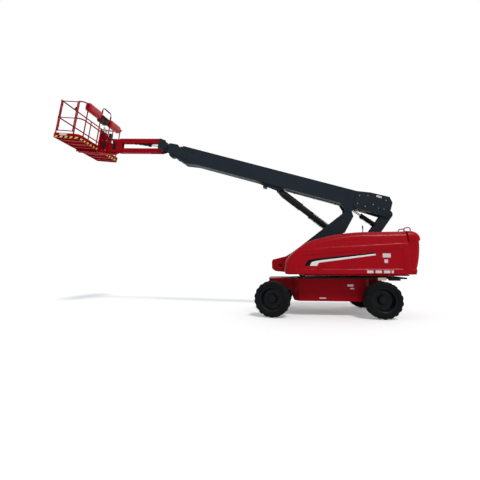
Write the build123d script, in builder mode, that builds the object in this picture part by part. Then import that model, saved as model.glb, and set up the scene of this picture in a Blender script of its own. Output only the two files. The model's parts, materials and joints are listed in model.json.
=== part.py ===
from build123d import *
import math
import os

os.makedirs("parts", exist_ok=True)

# Telescopic boom lift. +X is towards the platform, +Y is the machine's left, +Z is up.
# The origin is on the ground under the slewing axis, halfway between the axles. Millimetres.

# Wheels and axles
wheel_base = 2635
overall_width = 2490
tyre_diameter = 910
tyre_width = 350
rim_diameter = 571
lug_height = 32
lug_count = 18
lug_reach = 58
lug_tip = 48
steer_at_rest = -13
kingpin_y = 745
kingpin_radius = 28
hub_radius = 125
disc_y = 1030
disc_thickness = 14
fit_gap = 0.3
shaft_gap = 0.05

# Chassis
chassis_bottom = 380
chassis_top = 915
deck_thickness = 40
chassis_half_width = 800
chassis_front = 820
chassis_rear = -1100
rear_corner_cut = 90
wheel_cut_x = 125
wheel_cut_y = 175
frame_end_x = 1480
frame_end_half_width = 520
frame_end_bottom = 640
chassis_wall = 25
slew_ring_radius = 470
slew_ring_height = 87
towing_eye_x = 1550
towing_eye_z = 700
towing_eye_radius = 18
towing_lug = 40

# Turntable
base_plate = 30
side_plate = 30
side_plate_y = 300
turntable_rear = -1960
nose_front = 1410
nose_top = 1570
plate_crown = 1640
hood_inner_y = 360
hood_outer_y = 1215
hood_wall = 10
hood_bottom = 1078
hood_rear = -1985
tail_rear = -2290
tail_top = 2160
tail_rounding = 40
hood_rounding = 50
hinge_y = 390
hinge_z = 2120
hinge_pin_radius = 8
hinge_spots = (-1700, -1300)

# Pivots of the lifting linkage, as X and Z
arm_foot = (1170, 1300)
arm_boom_pin = (-775, 2842)
link_foot = (-900, 1400)
link_boom_pin = (-1870, 2720)
cylinder_foot = (-350, 2262)
lift_pin = (1180, 3511)
level_foot = (-1620, 2380)
level_pin = (-926, 2883)
boom_angle = 16.8

# Boom, measured along it and square to it from the arm's pin
boom_half_width = 180
boom_floor = 155
boom_roof = 620
boom_wall = 12
boom_rear = -930
boom_front = 5330
tail_plate = 25
section_wall = 10
section_gap = 16

# Arm and link plates
arm_plate = 28
arm_half_width = 240
link_plate = 35
link_half_width = 160
link_depth = 250
pin_radius = 40

# Cylinders. The lengths are from an eye's centre
lift_barrel_radius = 95
lift_rod_radius = 50
lift_barrel_length = 1440
lift_rod_length = 1580
lift_pin_radius = 38
level_pin_radius = 20
sleeve_radius = 108
sleeve_start = 220
sleeve_length = 830
level_barrel_radius = 62
level_rod_radius = 30
level_barrel_length = 590
level_rod_length = 640

# Boom head and jib, as X and Z
head_pin = (4690, 4935)
jib_low_root = (4880, 4880)
jib_high_root = (4880, 5200)
jib_length = 1342
jib_angle = 2.6
jib_depth = 150
jib_half_width = 64
jib_wall = 20
jib_cylinder_foot = (4960, 5040)
jib_eye_set_back = 162
jib_pin_radius = 25

# Platform
rotator_ahead = 209.3815
rotator_shaft = 30
platform_tilt = 7
platform_yaw = -1.5
platform_offset = 907
platform_length = 2350
platform_width = 820
platform_drop = 22.8771
rail_height = 1140
rail_radius = 20
toe_height = 150
toe_thickness = 4

axle_x = wheel_base / 2
tyre_radius = tyre_diameter / 2
wheel_y = (overall_width - tyre_width) / 2
deck_top = chassis_top + deck_thickness
ring_top = deck_top + slew_ring_height
base_top = ring_top + fit_gap + base_plate


def finish(part, label):
    part.label = label
    export_step(part, f"parts/{label}.step")


def side_plane(origin, towards):
    # Vertical plane through two pivots, local x from the first to the second, local y up
    dx, dz = towards[0] - origin[0], towards[1] - origin[1]
    return Plane(origin=(origin[0], 0, origin[1]), x_dir=(dx, 0, dz), z_dir=(0, -1, 0))


def reach(a, b):
    return math.hypot(b[0] - a[0], b[1] - a[1])


def pin_plane(pivot, y=0):
    return Plane(origin=(pivot[0], y, pivot[1]), x_dir=(1, 0, 0), z_dir=(0, -1, 0))


def boom_point(u, w):
    c, s = math.cos(math.radians(boom_angle)), math.sin(math.radians(boom_angle))
    return (arm_boom_pin[0] + c * u - s * w, arm_boom_pin[1] + s * u + c * w)


def boom_local(pivot):
    c, s = math.cos(math.radians(boom_angle)), math.sin(math.radians(boom_angle))
    dx, dz = pivot[0] - arm_boom_pin[0], pivot[1] - arm_boom_pin[1]
    return (c * dx + s * dz, -s * dx + c * dz)


boom_plane = side_plane(arm_boom_pin, boom_point(1000, 0))

# Chassis frame: a wide box between the wheels, and narrow ends over the axles
deck_overhang = 15


def chassis_plan(over):
    # Plan of the wide box, wider all round by an amount, its front corners cut back for the turned wheels
    front, rear, half = chassis_front + over, chassis_rear - over, chassis_half_width + over
    with BuildSketch(mode=Mode.PRIVATE) as plan:
        with BuildLine():
            Polyline((front, 0), (front, half - wheel_cut_y), (front - wheel_cut_x, half),
                     (rear + rear_corner_cut, half), (rear, half - rear_corner_cut), (rear, 0))
            mirror(about=Plane.XZ)
        make_face()
    return plan.sketch


with BuildPart() as chassis_frame:
    with BuildSketch(Plane.XY.offset(chassis_bottom)):
        add(chassis_plan(0))
    extrude(amount=chassis_top - chassis_bottom)
    with BuildSketch(Plane.XY.offset(frame_end_bottom)):
        Rectangle(2 * frame_end_x, 2 * frame_end_half_width)
    extrude(amount=chassis_top - frame_end_bottom)
    with BuildSketch(Plane.XY.offset(chassis_top)):
        add(chassis_plan(deck_overhang))
        Rectangle(2 * frame_end_x + 20, 2 * frame_end_half_width + 60)
    extrude(amount=deck_thickness)
    # Towing lugs on each end, their eyes upright
    for end in (-1, 1):
        with BuildSketch(Plane.XY.offset(towing_eye_z - towing_lug / 2)):
            with Locations((end * (frame_end_x - 10 + towing_eye_x) / 2, 0)):
                Rectangle(towing_eye_x - frame_end_x + 10, 6 * towing_eye_radius)
            with Locations((end * towing_eye_x, 0)):
                Circle(3 * towing_eye_radius)
                Circle(towing_eye_radius, mode=Mode.SUBTRACT)
        extrude(amount=towing_lug)
    # Hollow inside, open below between the wheels, with two webs under the slewing ring
    with BuildSketch(Plane.XY.offset(frame_end_bottom + chassis_wall)):
        Rectangle(2 * (frame_end_x - chassis_wall), 2 * (frame_end_half_width - chassis_wall))
    extrude(amount=chassis_top - frame_end_bottom - 2 * chassis_wall, mode=Mode.SUBTRACT)
    with BuildSketch(Plane.XY.offset(chassis_bottom)):
        add(chassis_plan(-chassis_wall))
    extrude(amount=chassis_top - chassis_bottom - chassis_wall, mode=Mode.SUBTRACT)
    for side in (-1, 1):
        with BuildSketch(Plane.XY.offset(chassis_bottom)):
            with Locations(((chassis_front + chassis_rear) / 2, side * (slew_ring_radius - 50))):
                Rectangle(chassis_front - chassis_rear, chassis_wall)
        extrude(amount=chassis_top - chassis_bottom)
finish(chassis_frame.part, "chassis_frame")

# Slewing ring, its teeth under the turntable
with BuildPart() as slew_ring:
    with BuildSketch(Plane.XY.offset(deck_top)):
        Circle(slew_ring_radius)
        Circle(slew_ring_radius - 90, mode=Mode.SUBTRACT)
    extrude(amount=slew_ring_height)
finish(slew_ring.part, "slew_ring")

# Front axle with a yoke for each kingpin, in a bracket under the frame's end
yoke_inner = 128
yoke_plate = 32
steer_x = axle_x - 190
steer_arm = 150
with BuildPart() as front_axle:
    with BuildSketch(Plane.XZ):
        with Locations((axle_x, tyre_radius)):
            Rectangle(170, 190)
    extrude(amount=kingpin_y - 130, both=True)
    with BuildSketch(Plane.YZ.offset(axle_x)):
        with BuildLine():
            Polyline((-260, tyre_radius + 90), (260, tyre_radius + 90),
                     (140, frame_end_bottom), (-140, frame_end_bottom), close=True)
        make_face()
    extrude(amount=80, both=True)
    for side in (-1, 1):
        for level in (-1, 1):
            with BuildSketch(Plane.XY.offset(tyre_radius + level * (yoke_inner + yoke_plate / 2)
                                             - yoke_plate / 2)):
                with Locations((axle_x, side * (kingpin_y - 70))):
                    Rectangle(130, 140)
                with Locations((axle_x, side * kingpin_y)):
                    Circle(65)
                    Circle(kingpin_radius + shaft_gap, mode=Mode.SUBTRACT)
            extrude(amount=yoke_plate)
        with BuildSketch(Plane.XZ.offset(-side * (kingpin_y - 130))):
            with Locations((axle_x, tyre_radius)):
                Rectangle(130, 2 * (yoke_inner + yoke_plate))
        extrude(amount=side * 25)
    # Steering cylinder across the back of the axle, on two brackets
    with BuildSketch(Plane.XZ):
        with Locations((steer_x, tyre_radius)):
            Circle(42)
            Circle(22 + fit_gap, mode=Mode.SUBTRACT)
    extrude(amount=300, both=True)
    for side in (-1, 1):
        with BuildSketch(Plane.XZ.offset(side * 200)):
            with Locations(((steer_x + axle_x - 85) / 2 + 18, tyre_radius)):
                Rectangle(axle_x - 80 - steer_x - 36, 60)
        extrude(amount=25, both=True)
finish(front_axle.part, "front_axle")

# Rear axle with its two drive hubs
with BuildPart() as rear_axle:
    with BuildSketch(Plane.XZ):
        with Locations((-axle_x, tyre_radius)):
            Rectangle(190, 190)
    extrude(amount=kingpin_y, both=True)
    for side in (-1, 1):
        with BuildSketch(Plane.XZ.offset(-side * kingpin_y)):
            with Locations((-axle_x, tyre_radius)):
                Circle(hub_radius)
        extrude(amount=-side * (disc_y - fit_gap - kingpin_y))
    with BuildSketch(Plane.XY.offset(tyre_radius + 90)):
        with Locations((-axle_x, 0)):
            Rectangle(170, 2 * frame_end_half_width - 80)
    extrude(amount=frame_end_bottom - tyre_radius - 90)
finish(rear_axle.part, "rear_axle")

# Rod through the steering cylinder
with BuildPart() as steer_rod:
    with BuildSketch(Plane.XZ):
        with Locations((steer_x, tyre_radius)):
            Circle(22)
    extrude(amount=690, both=True)
finish(steer_rod.part, "steer_rod")


def knuckle_plane(side):
    # Horizontal plane at axle height on the kingpin, turned with the steering
    angle = math.radians(steer_at_rest)
    return Plane(origin=(axle_x, side * kingpin_y, tyre_radius),
                 x_dir=(math.cos(angle), math.sin(angle), 0), z_dir=(0, 0, 1))


def wheel_plane(axle, side, steer):
    # Upright plane of a wheel at the kingpin's line, local z outwards along the axle
    angle = math.radians(steer)
    return Plane(origin=(axle * axle_x, side * kingpin_y, tyre_radius),
                 x_dir=(math.cos(angle), math.sin(angle), 0),
                 z_dir=(-side * math.sin(angle), side * math.cos(angle), 0))


def make_knuckle(side):
    flat = knuckle_plane(side)
    out = wheel_plane(1, side, steer_at_rest)
    with BuildPart() as knuckle:
        with BuildSketch(flat.offset(-(yoke_inner - 1))):
            Circle(62)
        extrude(amount=2 * (yoke_inner - 1))
        with BuildSketch(flat.offset(-(yoke_inner + yoke_plate + 8))):
            Circle(kingpin_radius)
        extrude(amount=2 * (yoke_inner + yoke_plate + 8))
        with BuildSketch(out.offset(20)):
            Circle(95)
        extrude(amount=110)
        with BuildSketch(out.offset(110)):
            Circle(hub_radius)
        extrude(amount=disc_y - fit_gap - kingpin_y - 110)
        # Steering arm, back and inwards to the cylinder's rod
        with BuildSketch(flat.offset(-15)):
            with BuildLine():
                Polyline((-30, -side * 50), (30, -side * 50), (-95, -side * 75),
                         (-steer_arm, -side * 48), (-steer_arm, -side * 15), close=True)
            make_face()
        extrude(amount=30)
    return knuckle.part


finish(make_knuckle(1), "knuckle_left")
finish(make_knuckle(-1), "knuckle_right")


def make_rim(axle, side, steer):
    plane = wheel_plane(axle, side, steer)
    seat = rim_diameter / 2
    inner = wheel_y - kingpin_y - tyre_width / 2 + 25
    outer = wheel_y - kingpin_y + tyre_width / 2 - 25
    disc = disc_y - kingpin_y
    drum = 104
    with BuildPart() as rim:
        # Half section of a deep dished steel wheel, as radius and distance outwards
        with BuildSketch(Plane(origin=plane.origin, x_dir=plane.x_dir, z_dir=-plane.z_dir.cross(plane.x_dir))):
            with BuildLine():
                Polyline((0, disc), (150, disc), (215, disc), (seat - 22, disc + 30), (seat - 22, inner),
                         (seat + 14, inner), (seat + 14, inner + 12), (seat - 10, inner + 20),
                         (seat - 10, outer - 20), (seat + 14, outer - 12), (seat + 14, outer),
                         (seat - 22, outer), (seat - 22, disc + 60), (205, disc + disc_thickness),
                         (drum + 4, disc + disc_thickness), (drum, disc + 105), (drum - 18, disc + 120),
                         (60, disc + 124), (60, disc + 134), (0, disc + 134), close=True)
            make_face()
        revolve(axis=Axis(plane.origin, plane.z_dir))
    return rim.part


def make_tyre(axle, side, steer):
    plane = wheel_plane(axle, side, steer)
    middle = wheel_y - kingpin_y
    half = tyre_width / 2
    bead = rim_diameter / 2 - 9.7
    tread = tyre_radius - lug_height
    with BuildPart() as tyre:
        with BuildSketch(Plane(origin=plane.origin, x_dir=plane.x_dir, z_dir=-plane.z_dir.cross(plane.x_dir))):
            with BuildLine():
                Polyline((bead, middle - half + 50), (bead + 27, middle - half + 39), (bead + 60, middle - half + 8),
                         (tread - 70, middle - half), (tread, middle - half + 45), (tread, middle + half - 45),
                         (tread - 70, middle + half), (bead + 60, middle + half - 8),
                         (bead + 27, middle + half - 39), (bead, middle + half - 50), close=True)
            make_face()
        revolve(axis=Axis(plane.origin, plane.z_dir))
        # Two rows of slanted lugs, staggered by half a pitch, a lug's corner on the ground
        lug_top = math.sqrt(tyre_radius ** 2 - lug_reach ** 2)
        corner = math.degrees(math.atan2(lug_reach, lug_top))
        for row in (-1, 1):
            for k in range(lug_count):
                angle = math.radians(-90 + corner + 360 / lug_count * (k + 0.25 * (row + 1)))
                out = plane.x_dir * math.cos(angle) + Vector(0, 0, 1) * math.sin(angle)
                along = Vector(0, 0, 1) * math.cos(angle) - plane.x_dir * math.sin(angle)
                spot = Plane(origin=plane.origin + plane.z_dir * middle + out * (tread - 6),
                             x_dir=along, z_dir=out)
                across = row if spot.y_dir.dot(plane.z_dir) > 0 else -row
                with BuildSketch(spot):
                    with BuildLine():
                        Polyline((-20, across * 12), (24, across * 12), (lug_reach, across * (half - 8)),
                                 (lug_reach - lug_tip, across * (half - 8)), close=True)
                    make_face()
                extrude(amount=lug_top - tread + 6)
    return tyre.part


for axle, side, steer, name in ((1, 1, steer_at_rest, "front_left"), (1, -1, steer_at_rest, "front_right"),
                                (-1, 1, 0, "rear_left"), (-1, -1, 0, "rear_right")):
    finish(make_rim(axle, side, steer), f"rim_{name}")
    finish(make_tyre(axle, side, steer), f"tyre_{name}")

# Turntable: base plate over the ring, two side plates that carry the pivots, and a nose at the front
tray_half_width = 1150
with BuildPart() as turntable_frame:
    with BuildSketch(Plane.XY.offset(ring_top + fit_gap)):
        with Locations(((turntable_rear + 980) / 2, 0)):
            Rectangle(980 - turntable_rear, 2 * side_plate_y)
        Circle(slew_ring_radius + 30)
        with Locations(((turntable_rear + 600) / 2, 0)):
            Rectangle(600 - turntable_rear, 2 * tray_half_width)
    extrude(amount=base_plate)
    for side in (-1, 1):
        with BuildSketch(Plane.XZ.offset(-side * side_plate_y)):
            with BuildLine():
                Polyline((turntable_rear, base_top - 5), (980, base_top - 5), (1050, 1110), (nose_front - 110, 1130),
                         (nose_front - 40, 1170), (nose_front, 1230), (nose_front, 1390), (nose_front - 25, 1455),
                         (930, nose_top), (600, plate_crown), (-600, plate_crown - 80), (-1100, plate_crown),
                         (-1700, plate_crown), (turntable_rear, 1500), close=True)
            make_face()
        extrude(amount=side * side_plate)
        # Bosses of the rear link's pivot, short of the link
        with BuildSketch(pin_plane(link_foot, side * side_plate_y)):
            Circle(70)
        extrude(amount=side * (side_plate_y - link_half_width - 6))
    with BuildSketch(Plane.YZ.offset(nose_front - 30)):
        with Locations((0, 1310)):
            Rectangle(2 * side_plate_y - 10, 220)
    extrude(amount=25)
    # Pin of the arm's foot
    with BuildSketch(pin_plane(arm_foot)):
        Circle(pin_radius)
    extrude(amount=side_plate_y, both=True)
    # Brackets and pins of the hoods' hinges
    for side in (-1, 1):
        for spot in hinge_spots:
            with BuildSketch(Plane.YZ.offset(spot - 6)):
                with BuildLine():
                    Polyline((side * (side_plate_y - 20), 1450), (side * (side_plate_y - 20), hinge_z - 220),
                             (side * (hinge_y - 12), hinge_z - 60), (side * (hinge_y - 12), hinge_z),
                             (side * (hinge_y + 12), hinge_z), (side * (hinge_y + 12), hinge_z - 70),
                             (side * (side_plate_y + 20), hinge_z - 250), (side * (side_plate_y + 20), 1450),
                             close=True)
                make_face()
                with Locations((side * hinge_y, hinge_z)):
                    Circle(14)
            extrude(amount=12)
            with BuildSketch(Plane.YZ.offset(spot - 6)):
                with Locations((side * hinge_y, hinge_z)):
                    Circle(hinge_pin_radius)
            extrude(amount=40)
finish(turntable_frame.part, "turntable_frame")

# Battery packs under the hoods, a plain block on each side
with BuildPart() as battery_block:
    for side in (-1, 1):
        with BuildSketch(Plane.XY.offset(base_top + fit_gap)):
            with Locations((-900, side * 770)):
                Rectangle(1300, 620)
        extrude(amount=640)
finish(battery_block.part, "battery_block")

# Counterweight: a cast tail with a sloped back and a domed top
dome_start = tail_rear + 160
with BuildPart() as counterweight:
    with BuildSketch(Plane.XZ):
        with BuildLine():
            Polyline((tail_rear, 1900), (tail_rear, 1740), (tail_rear + 40, 1400), (tail_rear + 150, hood_bottom),
                     (hood_rear - 6, hood_bottom), (hood_rear - 6, tail_top), (dome_start, tail_top))
            ThreePointArc((dome_start, tail_top), (tail_rear + 47, 2084), (tail_rear, 1900))
        make_face()
    extrude(amount=hood_outer_y, both=True)
    side_edges = counterweight.edges().filter_by(Axis.Y, reverse=True)
    fillet(side_edges.filter_by(lambda edge: edge.center().X < hood_rear - 10), tail_rounding)
    # Seat against the ends of the turntable's side plates
    with BuildSketch(Plane.XY.offset(hood_bottom)):
        with Locations(((hood_rear - 6 + turntable_rear - fit_gap) / 2, 0)):
            Rectangle(turntable_rear - fit_gap - hood_rear + 6, 2 * side_plate_y + 40)
    extrude(amount=400)
finish(counterweight.part, "counterweight")


def hood_form(side, inset):
    # Closed form of a hood, its outer edges rounded; the inset one is the space inside
    with BuildPart() as form:
        with BuildSketch(Plane.XZ.offset(-side * (hood_inner_y - 2 * inset))):
            with BuildSketch(mode=Mode.PRIVATE) as outline:
                with BuildLine():
                    Polyline((1045, 1400), (1080, 1180), (1050, hood_bottom), (hood_rear, hood_bottom),
                             (hood_rear, tail_top), (-1200, 2150))
                    ThreePointArc((-1200, 2150), (-435, 2112), (165, 1990))
                    ThreePointArc((165, 1990), (674, 1777), (1045, 1400))
                make_face()
            if inset:
                offset(outline.sketch, amount=-inset)
            else:
                add(outline.sketch)
        extrude(amount=-side * (hood_outer_y - hood_inner_y + inset))
        wall = form.faces().sort_by(Axis.Y)[-1 if side > 0 else 0]
        fillet(wall.edges().filter_by(lambda edge: edge.center().Z > hood_bottom + 20), hood_rounding - inset)
    return form.part


def make_hood(side):
    # One moulded lid per side: outer wall, roof, front and back, open below and inwards
    with BuildPart() as hood:
        add(hood_form(side, 0))
        add(hood_form(side, hood_wall), mode=Mode.SUBTRACT)
        with BuildSketch(Plane.XZ.offset(-side * (hood_inner_y - 20))):
            with Locations((-460, hood_bottom + 10)):
                Rectangle(2 * 1460, 120)
        extrude(amount=-side * (hood_outer_y - hood_wall - hood_inner_y + 20), mode=Mode.SUBTRACT)
        # Ears on the hinge pins
        for spot in hinge_spots:
            with BuildSketch(Plane.YZ.offset(spot + 12)):
                with Locations((side * hinge_y, hinge_z + 14)):
                    Rectangle(28, 28)
                with Locations((side * hinge_y, hinge_z)):
                    Circle(14)
                    Circle(hinge_pin_radius + shaft_gap, mode=Mode.SUBTRACT)
            extrude(amount=14)
    return hood.part


finish(make_hood(1), "hood_left")
finish(make_hood(-1), "hood_right")

# Two bent tube loops on the tail's top, turned by 45 degrees
loop_radius = 13
loop_height = 95
loop_width = 160
with BuildPart() as tail_loops:
    for loop_y in (480, 870):
        across = Plane(origin=(hood_rear - 20, loop_y, tail_top + fit_gap), x_dir=(-1, 1, 0), z_dir=(1, 1, 0))
        with BuildLine(across) as hoop:
            FilletPolyline((0, 0), (0, loop_height), (loop_width, loop_height), (loop_width, 0), radius=45)
        with BuildSketch(Plane(origin=hoop.wire() @ 0, z_dir=(0, 0, 1))):
            Circle(loop_radius)
        sweep(path=hoop.wire())
finish(tail_loops.part, "tail_loops")

# Warning lamp on its stalk, on the side plate
beacon_x = -1125
stalk_height = 655
with BuildPart() as beacon:
    with Locations((beacon_x, side_plate_y - side_plate / 2, plate_crown + fit_gap)):
        Cylinder(11, stalk_height, align=(Align.CENTER, Align.CENTER, Align.MIN))
    with Locations((beacon_x, side_plate_y - side_plate / 2, plate_crown + stalk_height)):
        Cylinder(18, 95, align=(Align.CENTER, Align.CENTER, Align.MIN))
        fillet(beacon.edges().group_by(Axis.Z)[-1], 9)
finish(beacon.part, "beacon")

# Arm: two side plates with a deep gusset at the boom end, boxed towards the foot
arm_plane = side_plane(arm_boom_pin, arm_foot)
arm_length = reach(arm_boom_pin, arm_foot)
arm_inner = arm_half_width - arm_plate
box_start = 1310
with BuildPart() as front_arm:
    for side in (-1, 1):
        with BuildSketch(arm_plane.offset(side * arm_half_width)):
            with BuildLine():
                Polyline((0, 90), (80, 30), (arm_length - 600, 60), (arm_length, 125), (arm_length + 90, 0),
                         (arm_length, -125), (1350, -225), (494, -420), (9, -222), (-90, 0), close=True)
            make_face()
            Circle(90)
            with Locations((arm_length, 0)):
                Circle(125)
                Circle(pin_radius + shaft_gap, mode=Mode.SUBTRACT)
            Circle(pin_radius + shaft_gap, mode=Mode.SUBTRACT)
        extrude(amount=-side * arm_plate)
    with BuildSketch(arm_plane):
        with BuildLine():
            Polyline((box_start, 45), (arm_length - 600, 60), (arm_length - 190, 100), (arm_length - 190, -140),
                     (1350, -225), (box_start, -236), close=True)
        make_face()
    extrude(amount=arm_inner, both=True)
finish(front_arm.part, "front_arm")

# Rear link: two plates, joined by a box below the small cylinder's foot
link_plane = side_plane(link_boom_pin, link_foot)
link_length = reach(link_boom_pin, link_foot)
link_inner = link_half_width - link_plate
link_box_start = 870
link_pin_radius = 35
with BuildPart() as rear_link:
    for side in (-1, 1):
        with BuildSketch(link_plane.offset(side * link_half_width)):
            with Locations((link_length / 2, 0)):
                Rectangle(link_length, link_depth)
            Circle(link_depth / 2)
            with Locations((link_length, 0)):
                Circle(link_depth / 2)
                Circle(link_pin_radius + shaft_gap, mode=Mode.SUBTRACT)
            Circle(link_pin_radius + shaft_gap, mode=Mode.SUBTRACT)
        extrude(amount=-side * link_plate)
    with BuildSketch(link_plane):
        with Locations(((link_box_start + link_length - 160) / 2, 0)):
            Rectangle(link_length - 160 - link_box_start, link_depth - 30)
    extrude(amount=link_inner, both=True)
finish(rear_link.part, "rear_link")

# Boom, outer section: a hollow box, cut back below at the rear for the link, a chin at the mouth,
# deep side plates at the tail, and brackets below for the arm and the cylinders
lift_u, lift_w = boom_local(lift_pin)
level_u, level_w = boom_local(level_pin)
tail_u, tail_w = boom_local(link_boom_pin)
collar_radius = 75
bracket_plate = 30
gusset_length = 750
with BuildPart() as boom_outer:
    with BuildSketch(boom_plane):
        with BuildLine():
            Polyline((boom_rear + 250, boom_floor), (4660, boom_floor), (5060, 95), (boom_front + 15, 200),
                     (boom_front, 565), (boom_front - 55, boom_roof), (boom_rear, boom_roof),
                     (boom_rear, 330), close=True)
        make_face()
    extrude(amount=boom_half_width, both=True)
    with BuildSketch(boom_plane):
        with BuildLine():
            Polyline((boom_rear - 60, boom_floor + boom_wall), (boom_front + 60, boom_floor + boom_wall),
                     (boom_front + 60, boom_roof - boom_wall), (boom_rear - 60, boom_roof - boom_wall), close=True)
        make_face()
    extrude(amount=boom_half_width - boom_wall, both=True, mode=Mode.SUBTRACT)
    # Tail plates with the stub pins of the rear link
    for side in (-1, 1):
        with BuildSketch(boom_plane.offset(side * boom_half_width)):
            with BuildLine():
                Polyline((-100, 190), (-160, 125), (tail_u + 480, 120), (tail_u - 10, 100), (tail_u - 32, 200),
                         (tail_u - 32, 543), (tail_u + 84, 686), (-466, 672), (-100, boom_roof - 5), close=True)
            make_face()
        extrude(amount=side * tail_plate)
        with BuildSketch(boom_plane.offset(side * boom_half_width)):
            with Locations((tail_u, tail_w)):
                Circle(link_pin_radius)
        extrude(amount=-side * (boom_half_width - link_inner))
    # Bracket of the arm's pin, with a collar out to each of the arm's plates
    for side in (-1, 1):
        with BuildSketch(boom_plane.offset(side * boom_half_width)):
            with BuildLine():
                Polyline((-230, boom_floor + 2), (-75, -20), (0, -75), (75, -20), (260, boom_floor + 2), close=True)
            make_face()
            Circle(collar_radius)
        extrude(amount=-side * bracket_plate)
        with BuildSketch(boom_plane.offset(side * boom_half_width)):
            Circle(collar_radius)
        extrude(amount=side * (arm_inner - 6 - boom_half_width))
    with BuildSketch(boom_plane):
        Circle(pin_radius)
    extrude(amount=arm_half_width, both=True)
    # Brackets of the lift cylinder and of the small cylinder, each with its pin; the lift one runs on forwards
    for u, w, half, plate, size, pin, tail in ((lift_u, lift_w, 125, 28, 70, lift_pin_radius, gusset_length),
                                               (level_u, level_w, 52, 18, 42, level_pin_radius, 80)):
        for side in (-1, 1):
            with BuildSketch(boom_plane.offset(side * half)):
                with BuildLine():
                    Polyline((u - 1.9 * size, boom_floor + 2), (u - size, w), (u, w - size), (u + size, w),
                             (u + tail, boom_floor + 2), close=True)
                make_face()
            extrude(amount=-side * plate)
        with BuildSketch(boom_plane):
            with Locations((u, w)):
                Circle(pin)
        extrude(amount=half, both=True)
    with BuildSketch(boom_plane):
        with Locations((lift_u + 420, boom_floor - 40)):
            Rectangle(60, 90)
    extrude(amount=125, both=True)
finish(boom_outer.part, "boom_outer")


def section(front, rear, inset):
    # Hollow box section along the boom with its slide pads, set in from the outer one's outside
    floor, roof, half_width = boom_floor + inset, boom_roof - inset, boom_half_width - inset
    with BuildPart() as box:
        with BuildSketch(boom_plane):
            with Locations(((front + rear) / 2, (floor + roof) / 2)):
                Rectangle(front - rear, roof - floor)
        extrude(amount=half_width, both=True)
        with BuildSketch(boom_plane):
            with Locations(((front + rear) / 2, (floor + roof) / 2)):
                Rectangle(front - rear + 100, roof - floor - 2 * section_wall)
        extrude(amount=half_width - section_wall, both=True, mode=Mode.SUBTRACT)
        for at in (rear + 150, 0):
            with BuildSketch(boom_plane):
                for level in (floor - section_gap / 2 + fit_gap / 2, roof + section_gap / 2 - fit_gap / 2):
                    with Locations((at, level)):
                        Rectangle(160, section_gap - fit_gap)
            extrude(amount=half_width - 30, both=True)
            for side in (-1, 1):
                with BuildSketch(boom_plane.offset(side * half_width)):
                    with Locations((at, (floor + roof) / 2)):
                        Rectangle(160, roof - floor - 120)
                extrude(amount=side * (section_gap - fit_gap))
    return box.part


mid_inset = boom_wall + section_gap
inner_inset = mid_inset + section_wall + section_gap
mid_front = boom_front + 45
inner_front = boom_front + 90
finish(section(mid_front, -560, mid_inset), "boom_mid")

# Inner section with the nose that carries the head
head_u, head_w = boom_local(head_pin)
nose_plate = 25
nose_half_width = 110
inner_floor = boom_floor + inner_inset
inner_roof = boom_roof - inner_inset
with BuildPart() as boom_inner:
    add(section(inner_front, -440, inner_inset))
    with BuildSketch(boom_plane):
        with Locations((inner_front - 10, (inner_floor + inner_roof) / 2)):
            Rectangle(20, inner_roof - inner_floor)
    extrude(amount=boom_half_width - inner_inset, both=True)
    for side in (-1, 1):
        with BuildSketch(boom_plane.offset(side * nose_half_width)):
            with BuildLine():
                Polyline((inner_front - 15, 330), (inner_front + 40, 300), (head_u - 60, head_w - 75),
                         (head_u, head_w - 85), (head_u + 60, head_w - 60), (head_u + 60, head_w + 60),
                         (head_u, head_w + 85), (head_u - 80, 620), (inner_front + 80, 640),
                         (inner_front - 15, inner_roof), close=True)
            make_face()
        extrude(amount=-side * nose_plate)
    with BuildSketch(boom_plane):
        with Locations((head_u, head_w)):
            Circle(32)
    extrude(amount=nose_half_width + 34, both=True)
    # Round housing of the levelling drive below the nose
    with BuildSketch(boom_plane):
        with Locations((inner_front + 150, 330)):
            Circle(130)
    extrude(amount=nose_half_width - nose_plate, both=True)
finish(boom_inner.part, "boom_inner")

# Lift cylinder: the rod and its guard tube hang on the boom, the barrel's foot is in the arm
lift_plane = side_plane(lift_pin, cylinder_foot)
lift_length = reach(lift_pin, cylinder_foot)
lift_eye_half = 92


def crosswise(plane):
    # Plane square to the line between two pivots
    return Plane(origin=plane.origin, x_dir=plane.z_dir, z_dir=plane.x_dir)


with BuildPart() as lift_rod:
    with BuildSketch(lift_plane):
        Circle(62)
        Circle(lift_pin_radius + shaft_gap, mode=Mode.SUBTRACT)
    extrude(amount=lift_eye_half, both=True)
    with BuildSketch(crosswise(lift_plane).offset(55)):
        Circle(lift_rod_radius)
    extrude(amount=lift_rod_length - 55)
    with BuildSketch(crosswise(lift_plane).offset(sleeve_start)):
        Circle(sleeve_radius)
    extrude(amount=25)
    with BuildSketch(crosswise(lift_plane).offset(sleeve_start)):
        Circle(sleeve_radius)
        Circle(sleeve_radius - 10, mode=Mode.SUBTRACT)
    extrude(amount=sleeve_length - sleeve_start)
finish(lift_rod.part, "lift_rod")

with BuildPart() as lift_barrel:
    with BuildSketch(crosswise(lift_plane).offset(lift_length - 70)):
        Circle(lift_barrel_radius)
    extrude(amount=-(lift_barrel_length - 70))
    with BuildSketch(lift_plane):
        with Locations((lift_length, 0)):
            Circle(82)
    extrude(amount=70, both=True)
    with BuildSketch(crosswise(lift_plane).offset(lift_length - lift_barrel_length)):
        Circle(lift_rod_radius + fit_gap)
    extrude(amount=lift_barrel_length - 110, mode=Mode.SUBTRACT)
    with BuildSketch(lift_plane):
        with Locations((lift_length, 0)):
            Circle(lift_pin_radius + shaft_gap)
    extrude(amount=90, both=True, mode=Mode.SUBTRACT)
finish(lift_barrel.part, "lift_barrel")

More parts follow.
